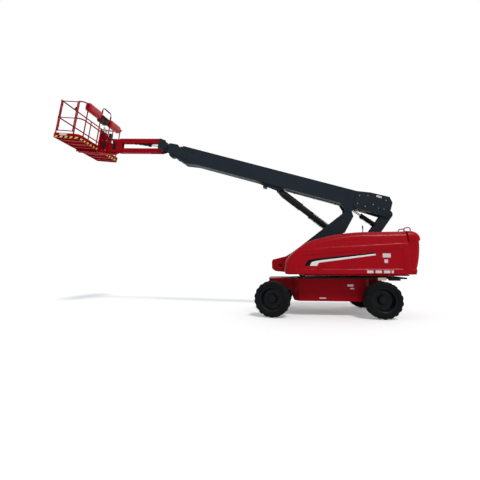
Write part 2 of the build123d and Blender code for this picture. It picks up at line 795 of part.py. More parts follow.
# Small levelling cylinder between the boom and the rear link
level_plane = side_plane(level_pin, level_foot)
level_length = reach(level_pin, level_foot)
with BuildPart() as level_rod:
    with BuildSketch(level_plane):
        Circle(42)
        Circle(level_pin_radius + shaft_gap, mode=Mode.SUBTRACT)
    extrude(amount=32, both=True)
    with BuildSketch(crosswise(level_plane).offset(34)):
        Circle(level_rod_radius)
    extrude(amount=level_rod_length - 34)
finish(level_rod.part, "level_rod")

with BuildPart() as level_barrel:
    with BuildSketch(crosswise(level_plane).offset(level_length - 30)):
        Circle(level_barrel_radius)
    extrude(amount=-(level_barrel_length - 30))
    with BuildSketch(level_plane):
        with Locations((level_length, 0)):
            Circle(56)
    extrude(amount=44, both=True)
    with BuildSketch(crosswise(level_plane).offset(level_length - level_barrel_length)):
        Circle(level_rod_radius + fit_gap)
    extrude(amount=level_barrel_length - 60, mode=Mode.SUBTRACT)
    with BuildSketch(level_plane):
        with Locations((level_length, 0)):
            Circle(level_pin_radius + shaft_gap)
    extrude(amount=60, both=True, mode=Mode.SUBTRACT)
finish(level_barrel.part, "level_barrel")

# Boom head: two cheeks outside the nose that carry the jib's pivots and its cylinder's foot
head_half_width = 140
head_cheek = 24
foot_x, foot_z = jib_cylinder_foot
with BuildPart() as boom_head:
    for side in (-1, 1):
        with BuildSketch(Plane.XZ.offset(side * head_half_width)):
            with BuildLine():
                Polyline((head_pin[0] - 60, head_pin[1] - 40), (head_pin[0] + 40, head_pin[1] - 75),
                         (jib_low_root[0], jib_low_root[1] - 62), (jib_low_root[0] + 62, jib_low_root[1]),
                         (jib_high_root[0] + 62, jib_high_root[1]), (jib_high_root[0], jib_high_root[1] + 62),
                         (jib_high_root[0] - 62, jib_high_root[1] + 30), (head_pin[0] + 10, head_pin[1] + 255),
                         (head_pin[0] - 60, head_pin[1] + 60), close=True)
            make_face()
            with Locations(head_pin):
                Circle(32 + shaft_gap, mode=Mode.SUBTRACT)
        extrude(amount=-side * head_cheek)
        # Lug of the jib cylinder
        with BuildSketch(Plane.XZ.offset(side * 38)):
            with BuildLine():
                Polyline((head_pin[0] + 20, head_pin[1] + 150), (foot_x, foot_z - 35), (foot_x + 35, foot_z),
                         (foot_x, foot_z + 35), (head_pin[0] + 20, head_pin[1] + 230), close=True)
            make_face()
        extrude(amount=-side * 12)
    with BuildSketch(Plane.XZ):
        with Locations((head_pin[0] + 23, head_pin[1] + 190)):
            Rectangle(16, 90)
    extrude(amount=head_half_width, both=True)
    for pivot in (jib_low_root, jib_high_root):
        with BuildSketch(pin_plane(pivot)):
            Circle(jib_pin_radius)
        extrude(amount=head_half_width, both=True)
    with BuildSketch(pin_plane(jib_cylinder_foot)):
        Circle(16)
    extrude(amount=38, both=True)
finish(boom_head.part, "boom_head")


def jib_tip(root):
    angle = math.radians(jib_angle)
    return (root[0] + jib_length * math.cos(angle), root[1] + jib_length * math.sin(angle))


low_tip = jib_tip(jib_low_root)
high_tip = jib_tip(jib_high_root)


def make_jib_beam(root, tip, webs):
    # Two flat tubes side by side with a bush at each end, joined by webs on one face
    plane = side_plane(root, tip)
    with BuildPart() as beam:
        for side in (-1, 1):
            with BuildSketch(plane.offset(side * jib_half_width)):
                with Locations((jib_length / 2, 0)):
                    SlotCenterToCenter(jib_length, jib_depth)
            extrude(amount=-side * jib_wall)
        for start, end, level in webs:
            with BuildSketch(plane):
                with Locations(((start + end) / 2, level * (jib_depth / 2 - 6))):
                    Rectangle(end - start, 12)
            extrude(amount=jib_half_width - jib_wall / 2, both=True)
        for at, width in ((0, head_half_width - head_cheek - 4), (jib_length, jib_half_width)):
            with BuildSketch(plane):
                with Locations((at, 0)):
                    Circle(jib_pin_radius + 15)
            extrude(amount=width, both=True)
            with BuildSketch(plane):
                with Locations((at, 0)):
                    Circle(jib_pin_radius + shaft_gap)
            extrude(amount=width, both=True, mode=Mode.SUBTRACT)
    return beam.part


# Jib: a parallelogram of two beams
finish(make_jib_beam(jib_low_root, low_tip, ((320, jib_length - 120, -1),)), "jib_lower")
finish(make_jib_beam(jib_high_root, high_tip, ((60, 420, 1), (jib_length - 60, jib_length - 20, 1))), "jib_upper")

# Jib cylinder: the rod on the head's lug, the barrel's eye between the upper beam's tubes
jib_cylinder_reach = jib_length - jib_eye_set_back
jib_eye = (jib_high_root[0] + jib_cylinder_reach * math.cos(math.radians(jib_angle)),
           jib_high_root[1] + jib_cylinder_reach * math.sin(math.radians(jib_angle)))
jib_rod_plane = side_plane(jib_cylinder_foot, jib_eye)
jib_stroke_length = reach(jib_cylinder_foot, jib_eye)
jib_rod_radius = 20
jib_barrel_start = 240
with BuildPart() as jib_rod:
    with BuildSketch(jib_rod_plane):
        Circle(32)
        Circle(16 + shaft_gap, mode=Mode.SUBTRACT)
    extrude(amount=24, both=True)
    with BuildSketch(crosswise(jib_rod_plane).offset(26)):
        Circle(jib_rod_radius)
    extrude(amount=jib_stroke_length - 400)
finish(jib_rod.part, "jib_rod")

with BuildPart() as jib_barrel:
    with BuildSketch(crosswise(jib_rod_plane).offset(jib_barrel_start)):
        Circle(36)
    extrude(amount=jib_stroke_length - jib_barrel_start - 25)
    with BuildSketch(jib_rod_plane):
        with Locations((jib_stroke_length, 0)):
            Circle(34)
    extrude(amount=34, both=True)
    with BuildSketch(crosswise(jib_rod_plane).offset(jib_barrel_start)):
        Circle(jib_rod_radius + fit_gap)
    extrude(amount=jib_stroke_length - jib_barrel_start - 70, mode=Mode.SUBTRACT)
finish(jib_barrel.part, "jib_barrel")

# Jib end: plates outside the two beams and the rotator's housing, tilted like the platform
tilt = math.radians(platform_tilt)
rotator = Plane(origin=(low_tip[0] + rotator_ahead, 0, low_tip[1] - platform_drop),
                x_dir=(math.cos(tilt), 0, math.sin(tilt)), z_dir=(-math.sin(tilt), 0, math.cos(tilt)))


def by_rotator(x, z):
    # X and Z of a point given out from and up along the rotator's axis
    point = rotator.from_local_coords(Vector(x, 0, z))
    return (point.X, point.Z)


plate_in = jib_half_width + 4
plate_out = plate_in + 16
rotator_radius = 65
rotator_bottom = -40
rotator_top = 387
with BuildPart() as jib_end:
    for side in (-1, 1):
        with BuildSketch(Plane.XZ.offset(side * plate_out)):
            with BuildLine():
                Polyline((low_tip[0] - 60, low_tip[1] + 20), (low_tip[0] - 20, low_tip[1] - 56),
                         by_rotator(-10, rotator_bottom + 20), by_rotator(-10, rotator_top - 15),
                         (high_tip[0] - 10, high_tip[1] + 60), (high_tip[0] - 62, high_tip[1] - 10), close=True)
            make_face()
        extrude(amount=-side * (plate_out - plate_in))
    for tip in (low_tip, high_tip):
        with BuildSketch(pin_plane(tip)):
            Circle(jib_pin_radius)
        extrude(amount=plate_out, both=True)
    with BuildSketch(rotator.offset(rotator_bottom)):
        Circle(rotator_radius)
        with Locations((7 - rotator_radius, 0)):
            Rectangle(16, 2 * plate_in + 10)
    extrude(amount=rotator_top - rotator_bottom)
    with BuildSketch(rotator.offset(rotator_bottom)):
        Circle(rotator_shaft + shaft_gap)
    extrude(amount=rotator_top - rotator_bottom, mode=Mode.SUBTRACT)
finish(jib_end.part, "jib_end")

# Platform, local x away from the jib, local y along the platform, local z up from its floor
yaw = math.radians(platform_yaw)
deck = Plane(origin=rotator.origin, x_dir=rotator.x_dir * math.cos(yaw) + rotator.y_dir * math.sin(yaw),
             z_dir=rotator.z_dir)
side_in = platform_offset - platform_width / 2
side_out = platform_offset + platform_width / 2
half_length = platform_length / 2
corner_radius = 150
beam_height = 50
underside = -45


def deck_at(x, y, z=0):
    # Deck plane moved to a local point
    return Plane(origin=deck.from_local_coords(Vector(x, y, z)), x_dir=deck.x_dir, z_dir=deck.z_dir)


def deck_outline(inset):
    # Plan of the platform: round corners towards the jib, square ones outside
    x_in, x_out, end = side_in + inset, side_out - inset, half_length - inset
    radius = corner_radius - inset
    with BuildSketch(mode=Mode.PRIVATE) as plan:
        with BuildLine():
            Polyline((x_in + radius, end), (x_out, end), (x_out, -end), (x_in + radius, -end))
            Line((x_in, end - radius), (x_in, radius - end))
            for side in (-1, 1):
                ThreePointArc((x_in, side * (end - radius)),
                              (x_in + radius * (1 - math.sqrt(0.5)), side * (end - radius * (1 - math.sqrt(0.5)))),
                              (x_in + radius, side * end))
        make_face()
    return plan.sketch


# Rotator shaft, its two arms, a deep upright bracket behind the platform and two beams under the floor
beam_bottom = underside - fit_gap - beam_height
upright_half = 200
bracket_depth = 250
cheek_y = 85
with BuildPart() as platform_support:
    for level, height in ((beam_bottom, beam_height), (rotator_top + 5, 25)):
        with BuildSketch(deck.offset(level)):
            Circle(70)
            with Locations(((side_in - 14) / 2, 0)):
                Rectangle(side_in - 14, 120)
        extrude(amount=height)
    with BuildSketch(deck.offset(beam_bottom)):
        for side in (-1, 1):
            with Locations(((side_in - 60 + side_out) / 2, side * 62)):
                Rectangle(side_out - side_in + 60, 46)
    extrude(amount=beam_height)
    with BuildSketch(deck.offset(beam_bottom)):
        Circle(rotator_shaft)
    extrude(amount=rotator_top + 20 - beam_bottom)
    with BuildSketch(deck.offset(beam_bottom)):
        with Locations((side_in - 7 - fit_gap, 0)):
            Rectangle(14, 2 * upright_half)
        for side in (-1, 1):
            with Locations((side_in - 20, side * (upright_half - 6))):
                Rectangle(40 - fit_gap, 12)
    extrude(amount=740)
    # Two cheeks between the arms
    for side in (-1, 1):
        with BuildSketch(Plane(origin=deck_at(0, side * cheek_y).origin, x_dir=deck.x_dir, z_dir=-deck.y_dir)):
            with BuildLine():
                Polyline((side_in - 10, beam_bottom), (side_in - 10, 560), (side_in - 90, 560),
                         (side_in - bracket_depth, rotator_top + 30), (side_in - bracket_depth, beam_bottom),
                         close=True)
            make_face()
        extrude(amount=10, both=True)
    with BuildSketch(Plane(origin=deck_at(side_in - bracket_depth, 0).origin, x_dir=deck.y_dir, z_dir=deck.x_dir)):
        with Locations((0, (beam_bottom + rotator_top + 30) / 2)):
            Rectangle(2 * cheek_y, rotator_top + 30 - beam_bottom)
    extrude(amount=12)
finish(platform_support.part, "platform_support")

# Floor plate with a rim and stiffeners under it
rim_inset = toe_thickness + fit_gap
with BuildPart() as platform_deck:
    with BuildSketch(deck.offset(-5)):
        add(deck_outline(rim_inset))
    extrude(amount=5)
    with BuildSketch(deck.offset(underside)):
        add(deck_outline(rim_inset))
        add(deck_outline(rim_inset + 30), mode=Mode.SUBTRACT)
        for k in range(-3, 4):
            with Locations((platform_offset, k * half_length * 0.27)):
                Rectangle(platform_width - 40, 40)
    extrude(amount=-underside - 5)
finish(platform_deck.part, "platform_deck")

# Toe boards round the floor
with BuildPart() as toe_boards:
    with BuildSketch(deck.offset(underside)):
        add(deck_outline(0))
        add(deck_outline(toe_thickness), mode=Mode.SUBTRACT)
    extrude(amount=toe_height)
finish(toe_boards.part, "toe_boards")

# Guard rails: a top and a middle rail, posts down to the floor, and the gate's hinge eyes
rail_inset = rim_inset + rail_radius
rail_bend = 155
rail_in = side_in + rail_inset
rail_out = side_out - rail_inset
rail_end = half_length - rail_inset
top_rail = rail_height - rail_radius
mid_rail = 590
hoop_half = 250
hoop_height = 250
gate_gap = 45
latch_x = rail_in + 190
hinge_x = rail_out - gate_gap
gate_tube = 16
cover_middle = 620
cover_half_length = 320
post_away = cover_half_length + rail_radius + 4
with BuildPart() as platform_rails:
    for level in (mid_rail, top_rail):
        with BuildLine(deck.offset(level)) as loop:
            FilletPolyline((latch_x + 15, rail_end), (rail_in, rail_end), (rail_in, -rail_end),
                           (rail_out, -rail_end), (rail_out, rail_end + 25), radius=rail_bend)
        with BuildSketch(Plane(origin=loop.wire() @ 0, z_dir=loop.wire() % 0)):
            Circle(rail_radius)
        sweep(path=loop.wire())
    for x, y in ((latch_x, rail_end), (rail_out, rail_end), (rail_out, rail_end / 3), (rail_out, -rail_end / 3),
                 (rail_out, rail_bend - rail_end), (platform_offset, -rail_end), (rail_in, cover_middle + post_away),
                 (rail_in, cover_middle - post_away), (rail_in, post_away - cover_middle),
                 (rail_in, -post_away - cover_middle)):
        with Locations(deck_at(x, y, fit_gap)):
            Cylinder(rail_radius - 2, top_rail - fit_gap, align=(Align.CENTER, Align.CENTER, Align.MIN))
    # Hoop over the control station
    with BuildLine(Plane(origin=deck.from_local_coords(Vector(rail_in, 0, top_rail)), x_dir=deck.y_dir,
                         z_dir=deck.x_dir)) as bow:
        FilletPolyline((-hoop_half, 0), (-hoop_half, hoop_height), (hoop_half, hoop_height), (hoop_half, 0),
                       radius=80)
    with BuildSketch(Plane(origin=bow.wire() @ 0, z_dir=deck.z_dir)):
        Circle(14)
    sweep(path=bow.wire())
    for level in (300, 950):
        with BuildSketch(deck_at(hinge_x, rail_end, level)):
            Circle(gate_tube + 9)
            with Locations((gate_gap / 2 + 5, 0)):
                Rectangle(gate_gap - 20, 16)
            Circle(gate_tube + shaft_gap, mode=Mode.SUBTRACT)
        extrude(amount=40)
finish(platform_rails.part, "platform_rails")

# Gate at the platform's end
gate_width = hinge_x - latch_x - gate_gap
gate_bottom = 170
with BuildPart() as platform_gate:
    for x in (0, gate_width):
        with Locations(deck_at(hinge_x - x, rail_end, gate_bottom)):
            Cylinder(gate_tube, top_rail - gate_bottom, align=(Align.CENTER, Align.CENTER, Align.MIN))
    for level in (gate_bottom + gate_tube, mid_rail, top_rail - gate_tube):
        with Locations(deck_at(hinge_x - gate_width / 2, rail_end, level)):
            Cylinder(gate_tube - 2, gate_width, rotation=(0, 90, 0))
finish(platform_gate.part, "platform_gate")

# Rounded covers over the top rail, one each side of the control station
with BuildPart() as rail_covers:
    for side in (-1, 1):
        with BuildSketch(Plane(origin=deck.from_local_coords(Vector(rail_in, side * cover_middle, top_rail)),
                               x_dir=deck.x_dir, z_dir=-deck.y_dir)):
            with Locations((55, -40)):
                RectangleRounded(200, 260, 85)
            Circle(rail_radius + fit_gap, mode=Mode.SUBTRACT)
        extrude(amount=cover_half_length, both=True)
finish(rail_covers.part, "rail_covers")

# Control station behind the top rail
with BuildPart() as control_console:
    with BuildSketch(Plane(origin=deck.from_local_coords(Vector(rail_in, 0, top_rail)),
                           x_dir=deck.x_dir, z_dir=-deck.y_dir)):
        with BuildLine():
            Polyline((rail_radius + fit_gap, -190), (180, -190), (230, -40), (60, 50),
                     (rail_radius + fit_gap, 50), close=True)
        make_face()
    extrude(amount=190, both=True)
finish(control_console.part, "control_console")
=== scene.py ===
from math import atan2, copysign, cos, degrees, dist, hypot, pi, radians, sin, sqrt, tau

import bmesh
import bpy
from mathutils import Matrix, Vector
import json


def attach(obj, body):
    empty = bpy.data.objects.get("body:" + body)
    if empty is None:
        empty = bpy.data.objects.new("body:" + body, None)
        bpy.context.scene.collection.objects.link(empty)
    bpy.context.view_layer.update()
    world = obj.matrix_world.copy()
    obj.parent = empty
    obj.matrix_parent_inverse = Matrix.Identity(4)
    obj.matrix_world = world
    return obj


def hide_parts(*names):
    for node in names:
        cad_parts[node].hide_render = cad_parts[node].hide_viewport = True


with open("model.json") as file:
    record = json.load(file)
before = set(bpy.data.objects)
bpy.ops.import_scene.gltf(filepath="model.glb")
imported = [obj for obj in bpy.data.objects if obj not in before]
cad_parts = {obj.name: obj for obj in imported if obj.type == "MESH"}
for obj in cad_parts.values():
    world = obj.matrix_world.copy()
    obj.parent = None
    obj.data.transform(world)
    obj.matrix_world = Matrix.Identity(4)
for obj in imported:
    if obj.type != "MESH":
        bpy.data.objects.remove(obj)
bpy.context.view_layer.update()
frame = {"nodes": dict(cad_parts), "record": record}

# Materials


def feed(tree, socket, value):
    """Links a socket to another node's output, or sets its value."""
    if hasattr(value, "is_linked"):
        tree.links.new(value, socket)
    else:
        socket.default_value = value


def add(tree, kind, **inputs):
    """New node with its inputs fed."""
    node = tree.nodes.new(f"ShaderNode{kind}")
    for name, value in inputs.items():
        feed(tree, node.inputs[name], value)
    return node


def new_material(name):
    mat = bpy.data.materials.new(name)
    mat.use_nodes = True
    tree = mat.node_tree
    tree.nodes.clear()
    bsdf = add(tree, "BsdfPrincipled")
    add(tree, "OutputMaterial", Surface=bsdf.outputs[0])
    return mat, tree, bsdf


def noise(tree, scale, detail=4.0, rough=0.55):
    place = add(tree, "TexCoord").outputs["Object"]
    return add(tree, "TexNoise", Vector=place, Scale=scale, Detail=detail, Roughness=rough).outputs["Fac"]


def ramp(tree, value, stops):
    node = add(tree, "ValToRGB", Fac=value)
    ends = node.color_ramp.elements
    ends[0].position, ends[0].color = stops[0]
    ends[1].position, ends[1].color = stops[-1]
    for pos, col in stops[1:-1]:
        ends.new(pos).color = col
    return node.outputs["Color"]


def mix(tree, fac, a, b, kind="MIX"):
    node = add(tree, "Mix")
    node.data_type = "RGBA"
    node.blend_type = kind
    for socket, value in (("Factor", fac), (6, a), (7, b)):
        feed(tree, node.inputs[socket], value)
    return node.outputs[2]


def calc(tree, operation, a, b):
    node = add(tree, "Math")
    node.operation = operation
    feed(tree, node.inputs[0], a)
    feed(tree, node.inputs[1], b)
    return node.outputs[0]


def grey(v):
    return (v, v, v, 1)


def paint(name, colour, rough, metallic=0.0, coat=0.0, worn=0.2, peel=0.02, dust=0.03,
          worn_colour=(0.3, 0.29, 0.28), vary=0.12, specular=0.5):
    """Sprayed or moulded surface: its tone varies, it has scuffs, and dust lies on what faces up."""
    mat, tree, bsdf = new_material(name)
    dark = tuple(c * (1 - vary) for c in colour) + (1,)
    light = tuple(min(1, c * (1 + vary)) for c in colour) + (1,)
    tone = ramp(tree, noise(tree, 2.3, 6), [(0.3, dark), (0.5, colour + (1,)), (0.72, light)])
    scuffs = ramp(tree, noise(tree, 31, 9, 0.72), [(0.6, grey(0)), (0.7, grey(worn))])
    tone = mix(tree, scuffs, tone, worn_colour + (1,))
    split = add(tree, "SeparateXYZ", Vector=add(tree, "NewGeometry").outputs["Normal"])
    up = ramp(tree, split.outputs[2], [(0.35, grey(0)), (1.0, grey(dust))])
    cloud = ramp(tree, noise(tree, 5, 8, 0.65), [(0.38, grey(0.15)), (0.7, grey(1))])
    tone = mix(tree, mix(tree, 1.0, up, cloud, "MULTIPLY"), tone, DUST)
    gloss = ramp(tree, noise(tree, 7, 6),
                 [(0.3, grey(max(0.04, rough - 0.08))), (0.75, grey(min(1, rough + 0.12)))])
    bump = add(tree, "Bump", Strength=min(1, peel * 5), Distance=0.002, Height=noise(tree, 260, 3))
    for socket, value in (("Base Color", tone), ("Roughness", gloss), ("Metallic", metallic),
                          ("Specular IOR Level", specular), ("Coat Weight", coat), ("Coat Roughness", 0.12),
                          ("Normal", bump.outputs[0])):
        feed(tree, bsdf.inputs[socket], value)
    return mat


DUST = (0.42, 0.38, 0.33, 1)
RED = (0.3, 0.001, 0.006)
GLOSS_RED = (0.35, 0.001, 0.007)
SCUFF = (0.16, 0.03, 0.035)
DARK = (0.01, 0.016, 0.023)
BLACK = (0.005, 0.005, 0.006)
PLASTIC = (0.006, 0.006, 0.007)
# Each finish with its colour, roughness and what else it sets
FINISHES = {
    "red_paint": (RED, 0.42, dict(coat=0.02, worn=0.07, specular=0.05, worn_colour=SCUFF)),
    "hood_red": (GLOSS_RED, 0.3, dict(coat=0.04, worn=0.05, dust=0.01, vary=0.05, specular=0.06,
                                       worn_colour=SCUFF)),
    "cast_red": (GLOSS_RED, 0.33, dict(coat=0.04, peel=0.05, worn=0.08, dust=0.02, specular=0.06,
                                       worn_colour=SCUFF)),
    "dark_paint": (DARK, 0.46, dict(worn=0.06, specular=0.12)),
    "black_paint": (BLACK, 0.45, dict(worn=0.06, specular=0.12)),
    "tyre": ((0.006, 0.006, 0.0065), 0.85, dict(worn=0.05, peel=0.12, dust=0.06, vary=0.25, specular=0.1,
                                                worn_colour=(0.07, 0.065, 0.06))),
    "rod_chrome": ((0.6, 0.6, 0.62), 0.14, dict(metallic=1.0, worn=0.0, peel=0.0, dust=0.05, vary=0.03)),
    "ring_steel": ((0.3, 0.29, 0.28), 0.38, dict(metallic=1.0, worn=0.1, dust=0.15)),
    "battery_grey": ((0.05, 0.05, 0.055), 0.6, dict(dust=0.2)),
    "cover_red": ((0.48, 0.003, 0.012), 0.34, dict(coat=0.1, worn=0.04, specular=0.2,
                                                   worn_colour=SCUFF)),
    "console_black": (PLASTIC, 0.5, dict(dust=0.04, specular=0.14)),
    "rim_black": ((0.005, 0.006, 0.01), 0.36, dict(coat=0.04, dust=0.02, worn=0.06, specular=0.12)),
    "hub_dark": (PLASTIC, 0.45, dict(dust=0.02, worn=0.06, specular=0.1)),
    "hose": (PLASTIC, 0.55, dict(worn=0.03, specular=0.12)),
    "cream": ((0.55, 0.46, 0.33), 0.5, dict(worn=0.15, dust=0.1)),
    "zinc": ((0.5, 0.5, 0.49), 0.35, dict(metallic=1.0, worn=0.05, dust=0.08, vary=0.06)),
    "tape_yellow": ((0.8, 0.55, 0.03), 0.45, dict(worn=0.15, dust=0.04, vary=0.06)),
    "film_black": ((0.004, 0.004, 0.005), 0.35, dict(worn=0.0, dust=0.01, specular=0.05)),
    "film_white": ((0.78, 0.76, 0.75), 0.35, dict(worn=0.05, vary=0.03)),
    "plate_white": ((0.62, 0.57, 0.57), 0.45, dict(worn=0.1, vary=0.05)),
    "deck_red": ((0.26, 0.004, 0.01), 0.5, dict(worn=0.4, dust=0.12, specular=0.2)),
    # Light grey of the deck's tread strips: partly their own colour, partly a painted highlight for the sheen
    # along the front deck
    "tread_and_highlight_grey": ((0.44, 0.42, 0.4), 0.8, dict(worn=0.3, peel=0.2, dust=0.2, specular=0.2)),
}
mats = {name: paint(name, colour, rough, **rest) for name, (colour, rough, rest) in FINISHES.items()}
for row in frame["record"]["subparts"]:
    obj = frame["nodes"][row["node"]]
    for i in range(len(obj.material_slots)):
        obj.material_slots[i].material = mats[row["material_slot"]]

# Stage, light and camera


def new_object(name, data):
    obj = bpy.data.objects.new(name, data)
    bpy.context.scene.collection.objects.link(obj)
    return obj


def seen_ray(tree):
    """1 for what the camera, a reflection or glass looks at, 0 for what lights the object."""
    path = add(tree, "LightPath").outputs
    value = path["Is Camera Ray"]
    for other in ("Is Glossy Ray", "Is Transmission Ray"):
        value = calc(tree, "MAXIMUM", value, path[other])
    return value


FLOOR_LIFT = 0.24


def stage_floor():
    bpy.ops.mesh.primitive_plane_add(size=400, location=(0, 0, 0))
    floor = bpy.context.object
    floor.name = "floor"
    mat, tree, bsdf = new_material("floor")
    # Lifts the floor's own tone to the white of the backdrop, and leaves the shadow on it
    lift = calc(tree, "MULTIPLY", seen_ray(tree), FLOOR_LIFT)
    for socket, value in (("Base Color", (0.93, 0.93, 0.92, 1)), ("Roughness", 0.85),
                          ("Emission Color", grey(1)), ("Emission Strength", lift)):
        feed(tree, bsdf.inputs[socket], value)
    floor.data.materials.append(mat)


def background():
    """White where it is seen, and a soft sky for light."""
    world = bpy.data.worlds.new("sky")
    bpy.context.scene.world = world
    world.use_nodes = True
    tree = world.node_tree
    tree.nodes.clear()
    soft = add(tree, "Background", Color=(0.92, 0.95, 1.0, 1), Strength=0.42)
    white = add(tree, "Background", Color=grey(1), Strength=1.0)
    mixer = add(tree, "MixShader", Fac=seen_ray(tree))
    feed(tree, mixer.inputs[1], soft.outputs[0])
    feed(tree, mixer.inputs[2], white.outputs[0])
    add(tree, "OutputWorld", Surface=mixer.outputs[0])


def sun(name, energy, angle, rotation):
    lamp = bpy.data.lights.new(name, "SUN")
    lamp.energy = energy
    lamp.angle = radians(angle)
    new_object(name, lamp).rotation_euler = [radians(a) for a in rotation]


# The photo's size and focal length in pixels, and the row that the camera looks along
PHOTO, FOCAL, MIDDLE_ROW = 480, 331.65, 213.5
SENSOR = 36
CAMERA_PLACE = (1.254, 9.827, 1.37)
CAMERA_YAW, CAMERA_PITCH = radians(6.37), radians(8.42)


def photo_camera():
    data = bpy.data.cameras.new("camera")
    data.sensor_fit = "HORIZONTAL"
    data.sensor_width = SENSOR
    data.lens = SENSOR * FOCAL / PHOTO
    data.shift_y = (MIDDLE_ROW - PHOTO / 2) / PHOTO
    data.clip_end = 500
    obj = new_object("camera", data)
    level = cos(CAMERA_PITCH)
    forward = Vector((sin(CAMERA_YAW) * level, -cos(CAMERA_YAW) * level, sin(CAMERA_PITCH)))
    obj.location = CAMERA_PLACE
    obj.rotation_mode = "QUATERNION"
    obj.rotation_quaternion = forward.to_track_quat("-Z", "Y")
    bpy.context.scene.camera = obj


stage_floor()
background()
sun("key", 1.6, 10, (36, 0, 208))
sun("fill", 0.35, 60, (60, 0, -60))
photo_camera()
bpy.context.scene.view_settings.view_transform = "Standard"

# Mesh tools


def polar(r, a):
    return r * cos(a), r * sin(a)


def at(matrix, x, y, z):
    """Point of a frame, in the machine's own one."""
    return matrix @ Vector((x, y, z))


def piece(name, bm, mat, body, bevel=0.0, segments=2, smooth=35):
    """Turns a bmesh into a finished piece that rides on a body."""
    bmesh.ops.recalc_face_normals(bm, faces=bm.faces)
    mesh = bpy.data.meshes.new(name)
    bm.to_mesh(mesh)
    bm.free()
    mesh.shade_smooth()
    mesh.set_sharp_from_angle(angle=radians(smooth))
    obj = new_object(name, mesh)
    mesh.materials.append(mats[mat])
    if bevel:
        mod = obj.modifiers.new("edges", "BEVEL")
        mod.width = bevel
        mod.segments = segments
        mod.limit_method = "ANGLE"
        mod.angle_limit = radians(30)
        mod.harden_normals = True
    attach(obj, body)
    return obj


def thicken(obj, thickness, offset=-1):
    """Gives a sheet its thickness, inwards from where it was drawn or to both sides of it."""
    mod = obj.modifiers.new("wall", "SOLIDIFY")
    mod.thickness = thickness
    mod.offset = offset


def skin(bm, rows, closed=False, caps=False):
    """Faces between rows of points, each row open or closed on itself, and over the first and last row."""
    for a, b in zip(rows, rows[1:]):
        for k in range(len(a) if closed else len(a) - 1):
            n = (k + 1) % len(a)
            bm.faces.new((a[k], a[n], b[n], b[k]))
    if caps:
        bm.faces.new(rows[0])
        bm.faces.new(rows[-1])


def lathe(bm, profile, matrix, segments, closed=False):
    """Revolves (radius, height) rows about the matrix's z axis."""
    rings = []
    for r, z in profile:
        turns = [tau * k / segments for k in range(segments)] if r > 0 else [0]
        rings.append([bm.verts.new(at(matrix, *polar(r, a), z)) for a in turns])
    for a, b in zip(rings, rings[1:] + (rings[:1] if closed else [])):
        for k in range(segments):
            n = (k + 1) % segments
            if len(a) == len(b) == 1:
                continue
            if len(a) == 1:
                bm.faces.new((a[0], b[k], b[n]))
            elif len(b) == 1:
                bm.faces.new((a[k], a[n], b[0]))
            else:
                bm.faces.new((a[k], a[n], b[n], b[k]))


def prism(bm, outline, low, high, matrix):
    """Plan outline in the matrix's xy, extruded between two heights."""
    bottom = [bm.verts.new(at(matrix, x, y, low)) for x, y in outline]
    top = [bm.verts.new(at(matrix, x, y, high)) for x, y in outline]
    bm.faces.new(bottom)
    bm.faces.new(top)
    for k in range(len(outline)):
        n = (k + 1) % len(outline)
        bm.faces.new((bottom[k], bottom[n], top[n], top[k]))


def rounded(x0, y0, x1, y1, radius, steps=6):
    """Outline of a rectangle with round corners."""
    points = []
    for cx, cy, start in ((x1 - radius, y1 - radius, 0), (x0 + radius, y1 - radius, 90),
                          (x0 + radius, y0 + radius, 180), (x1 - radius, y0 + radius, 270)):
        for k in range(steps + 1):
            x, y = polar(radius, radians(start + 90 * k / steps))
            points.append((cx + x, cy + y))
    return points


def hexagon(bm, place, out, size, height):
    """Bolt head with a washer at a place, pointing outwards."""
    matrix = frame_at(place, out)
    washer, head = height * 0.18, size * 0.7
    lathe(bm, ((size * 0.95, 0), (size * 0.95, washer), (size * 0.6, washer)), matrix, 20)
    prism(bm, [polar(head, tau * k / 6) for k in range(6)], washer, height, matrix)


def bolt_circle(bm, matrix, count, turn, radius, z, size, height):
    """Bolts round a frame's z axis, the first one turned by an angle."""
    for k in range(count):
        place = at(matrix, *polar(radius, tau * k / count + turn), z)
        hexagon(bm, place, matrix.col[2].to_3d(), size, height)


def frame_at(place, out, along=None):
    """Matrix whose z points out and whose x runs along."""
    z = Vector(out).normalized()
    x = Vector(along or ((0, 0, 1) if abs(z.z) < 0.9 else (1, 0, 0)))
    x = (x - z * x.dot(z)).normalized()
    return Matrix((*zip(x, z.cross(x), z, place), (0, 0, 0, 1)))


def spin(angle, axis):
    return Matrix.Rotation(radians(angle), 4, axis)


def stand_in(node):
    """Makes a piece take the place of a node."""
    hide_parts(node)


def pipe(name, points, radius, mat, body):
    """Pipe or clamped hose along a smooth line through a few points."""
    curve = bpy.data.curves.new(name, "CURVE")
    curve.dimensions = "3D"
    spline = curve.splines.new("NURBS")
    spline.points.add(len(points) - 1)
    for p, co in zip(spline.points, points):
        p.co = (*co, 1)
    spline.order_u = 3
    spline.use_endpoint_u = True
    spline.resolution_u = 8
    curve.bevel_depth = radius
    curve.bevel_resolution = 4
    curve.use_fill_caps = True
    curve.materials.append(mats[mat])
    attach(new_object(name, curve), body)


WORLD = Matrix.Identity(4)


def box(bm, low, high, matrix=WORLD, radius=0.0):
    """Block between two corners of a frame, with upright edges rounded by a radius."""
    (x0, y0, z0), (x1, y1, z1) = low, high
    outline = rounded(x0, y0, x1, y1, radius, 3) if radius else [(x0, y0), (x1, y0), (x1, y1), (x0, y1)]
    prism(bm, outline, z0, z1, matrix)


def boxes(name, rows, matrix, mat, body, **finish):
    """Piece of blocks, each as its low corner, high corner and radius."""
    bm = bmesh.new()
    for low, high, radius in rows:
        box(bm, low, high, matrix, radius)
    piece(name, bm, mat, body, **finish)


def turned(name, profile, matrix, segments, mat, body, **finish):
    """Piece of one closed profile revolved."""
    bm = bmesh.new()
    lathe(bm, profile, matrix, segments, closed=True)
    return piece(name, bm, mat, body, **finish)


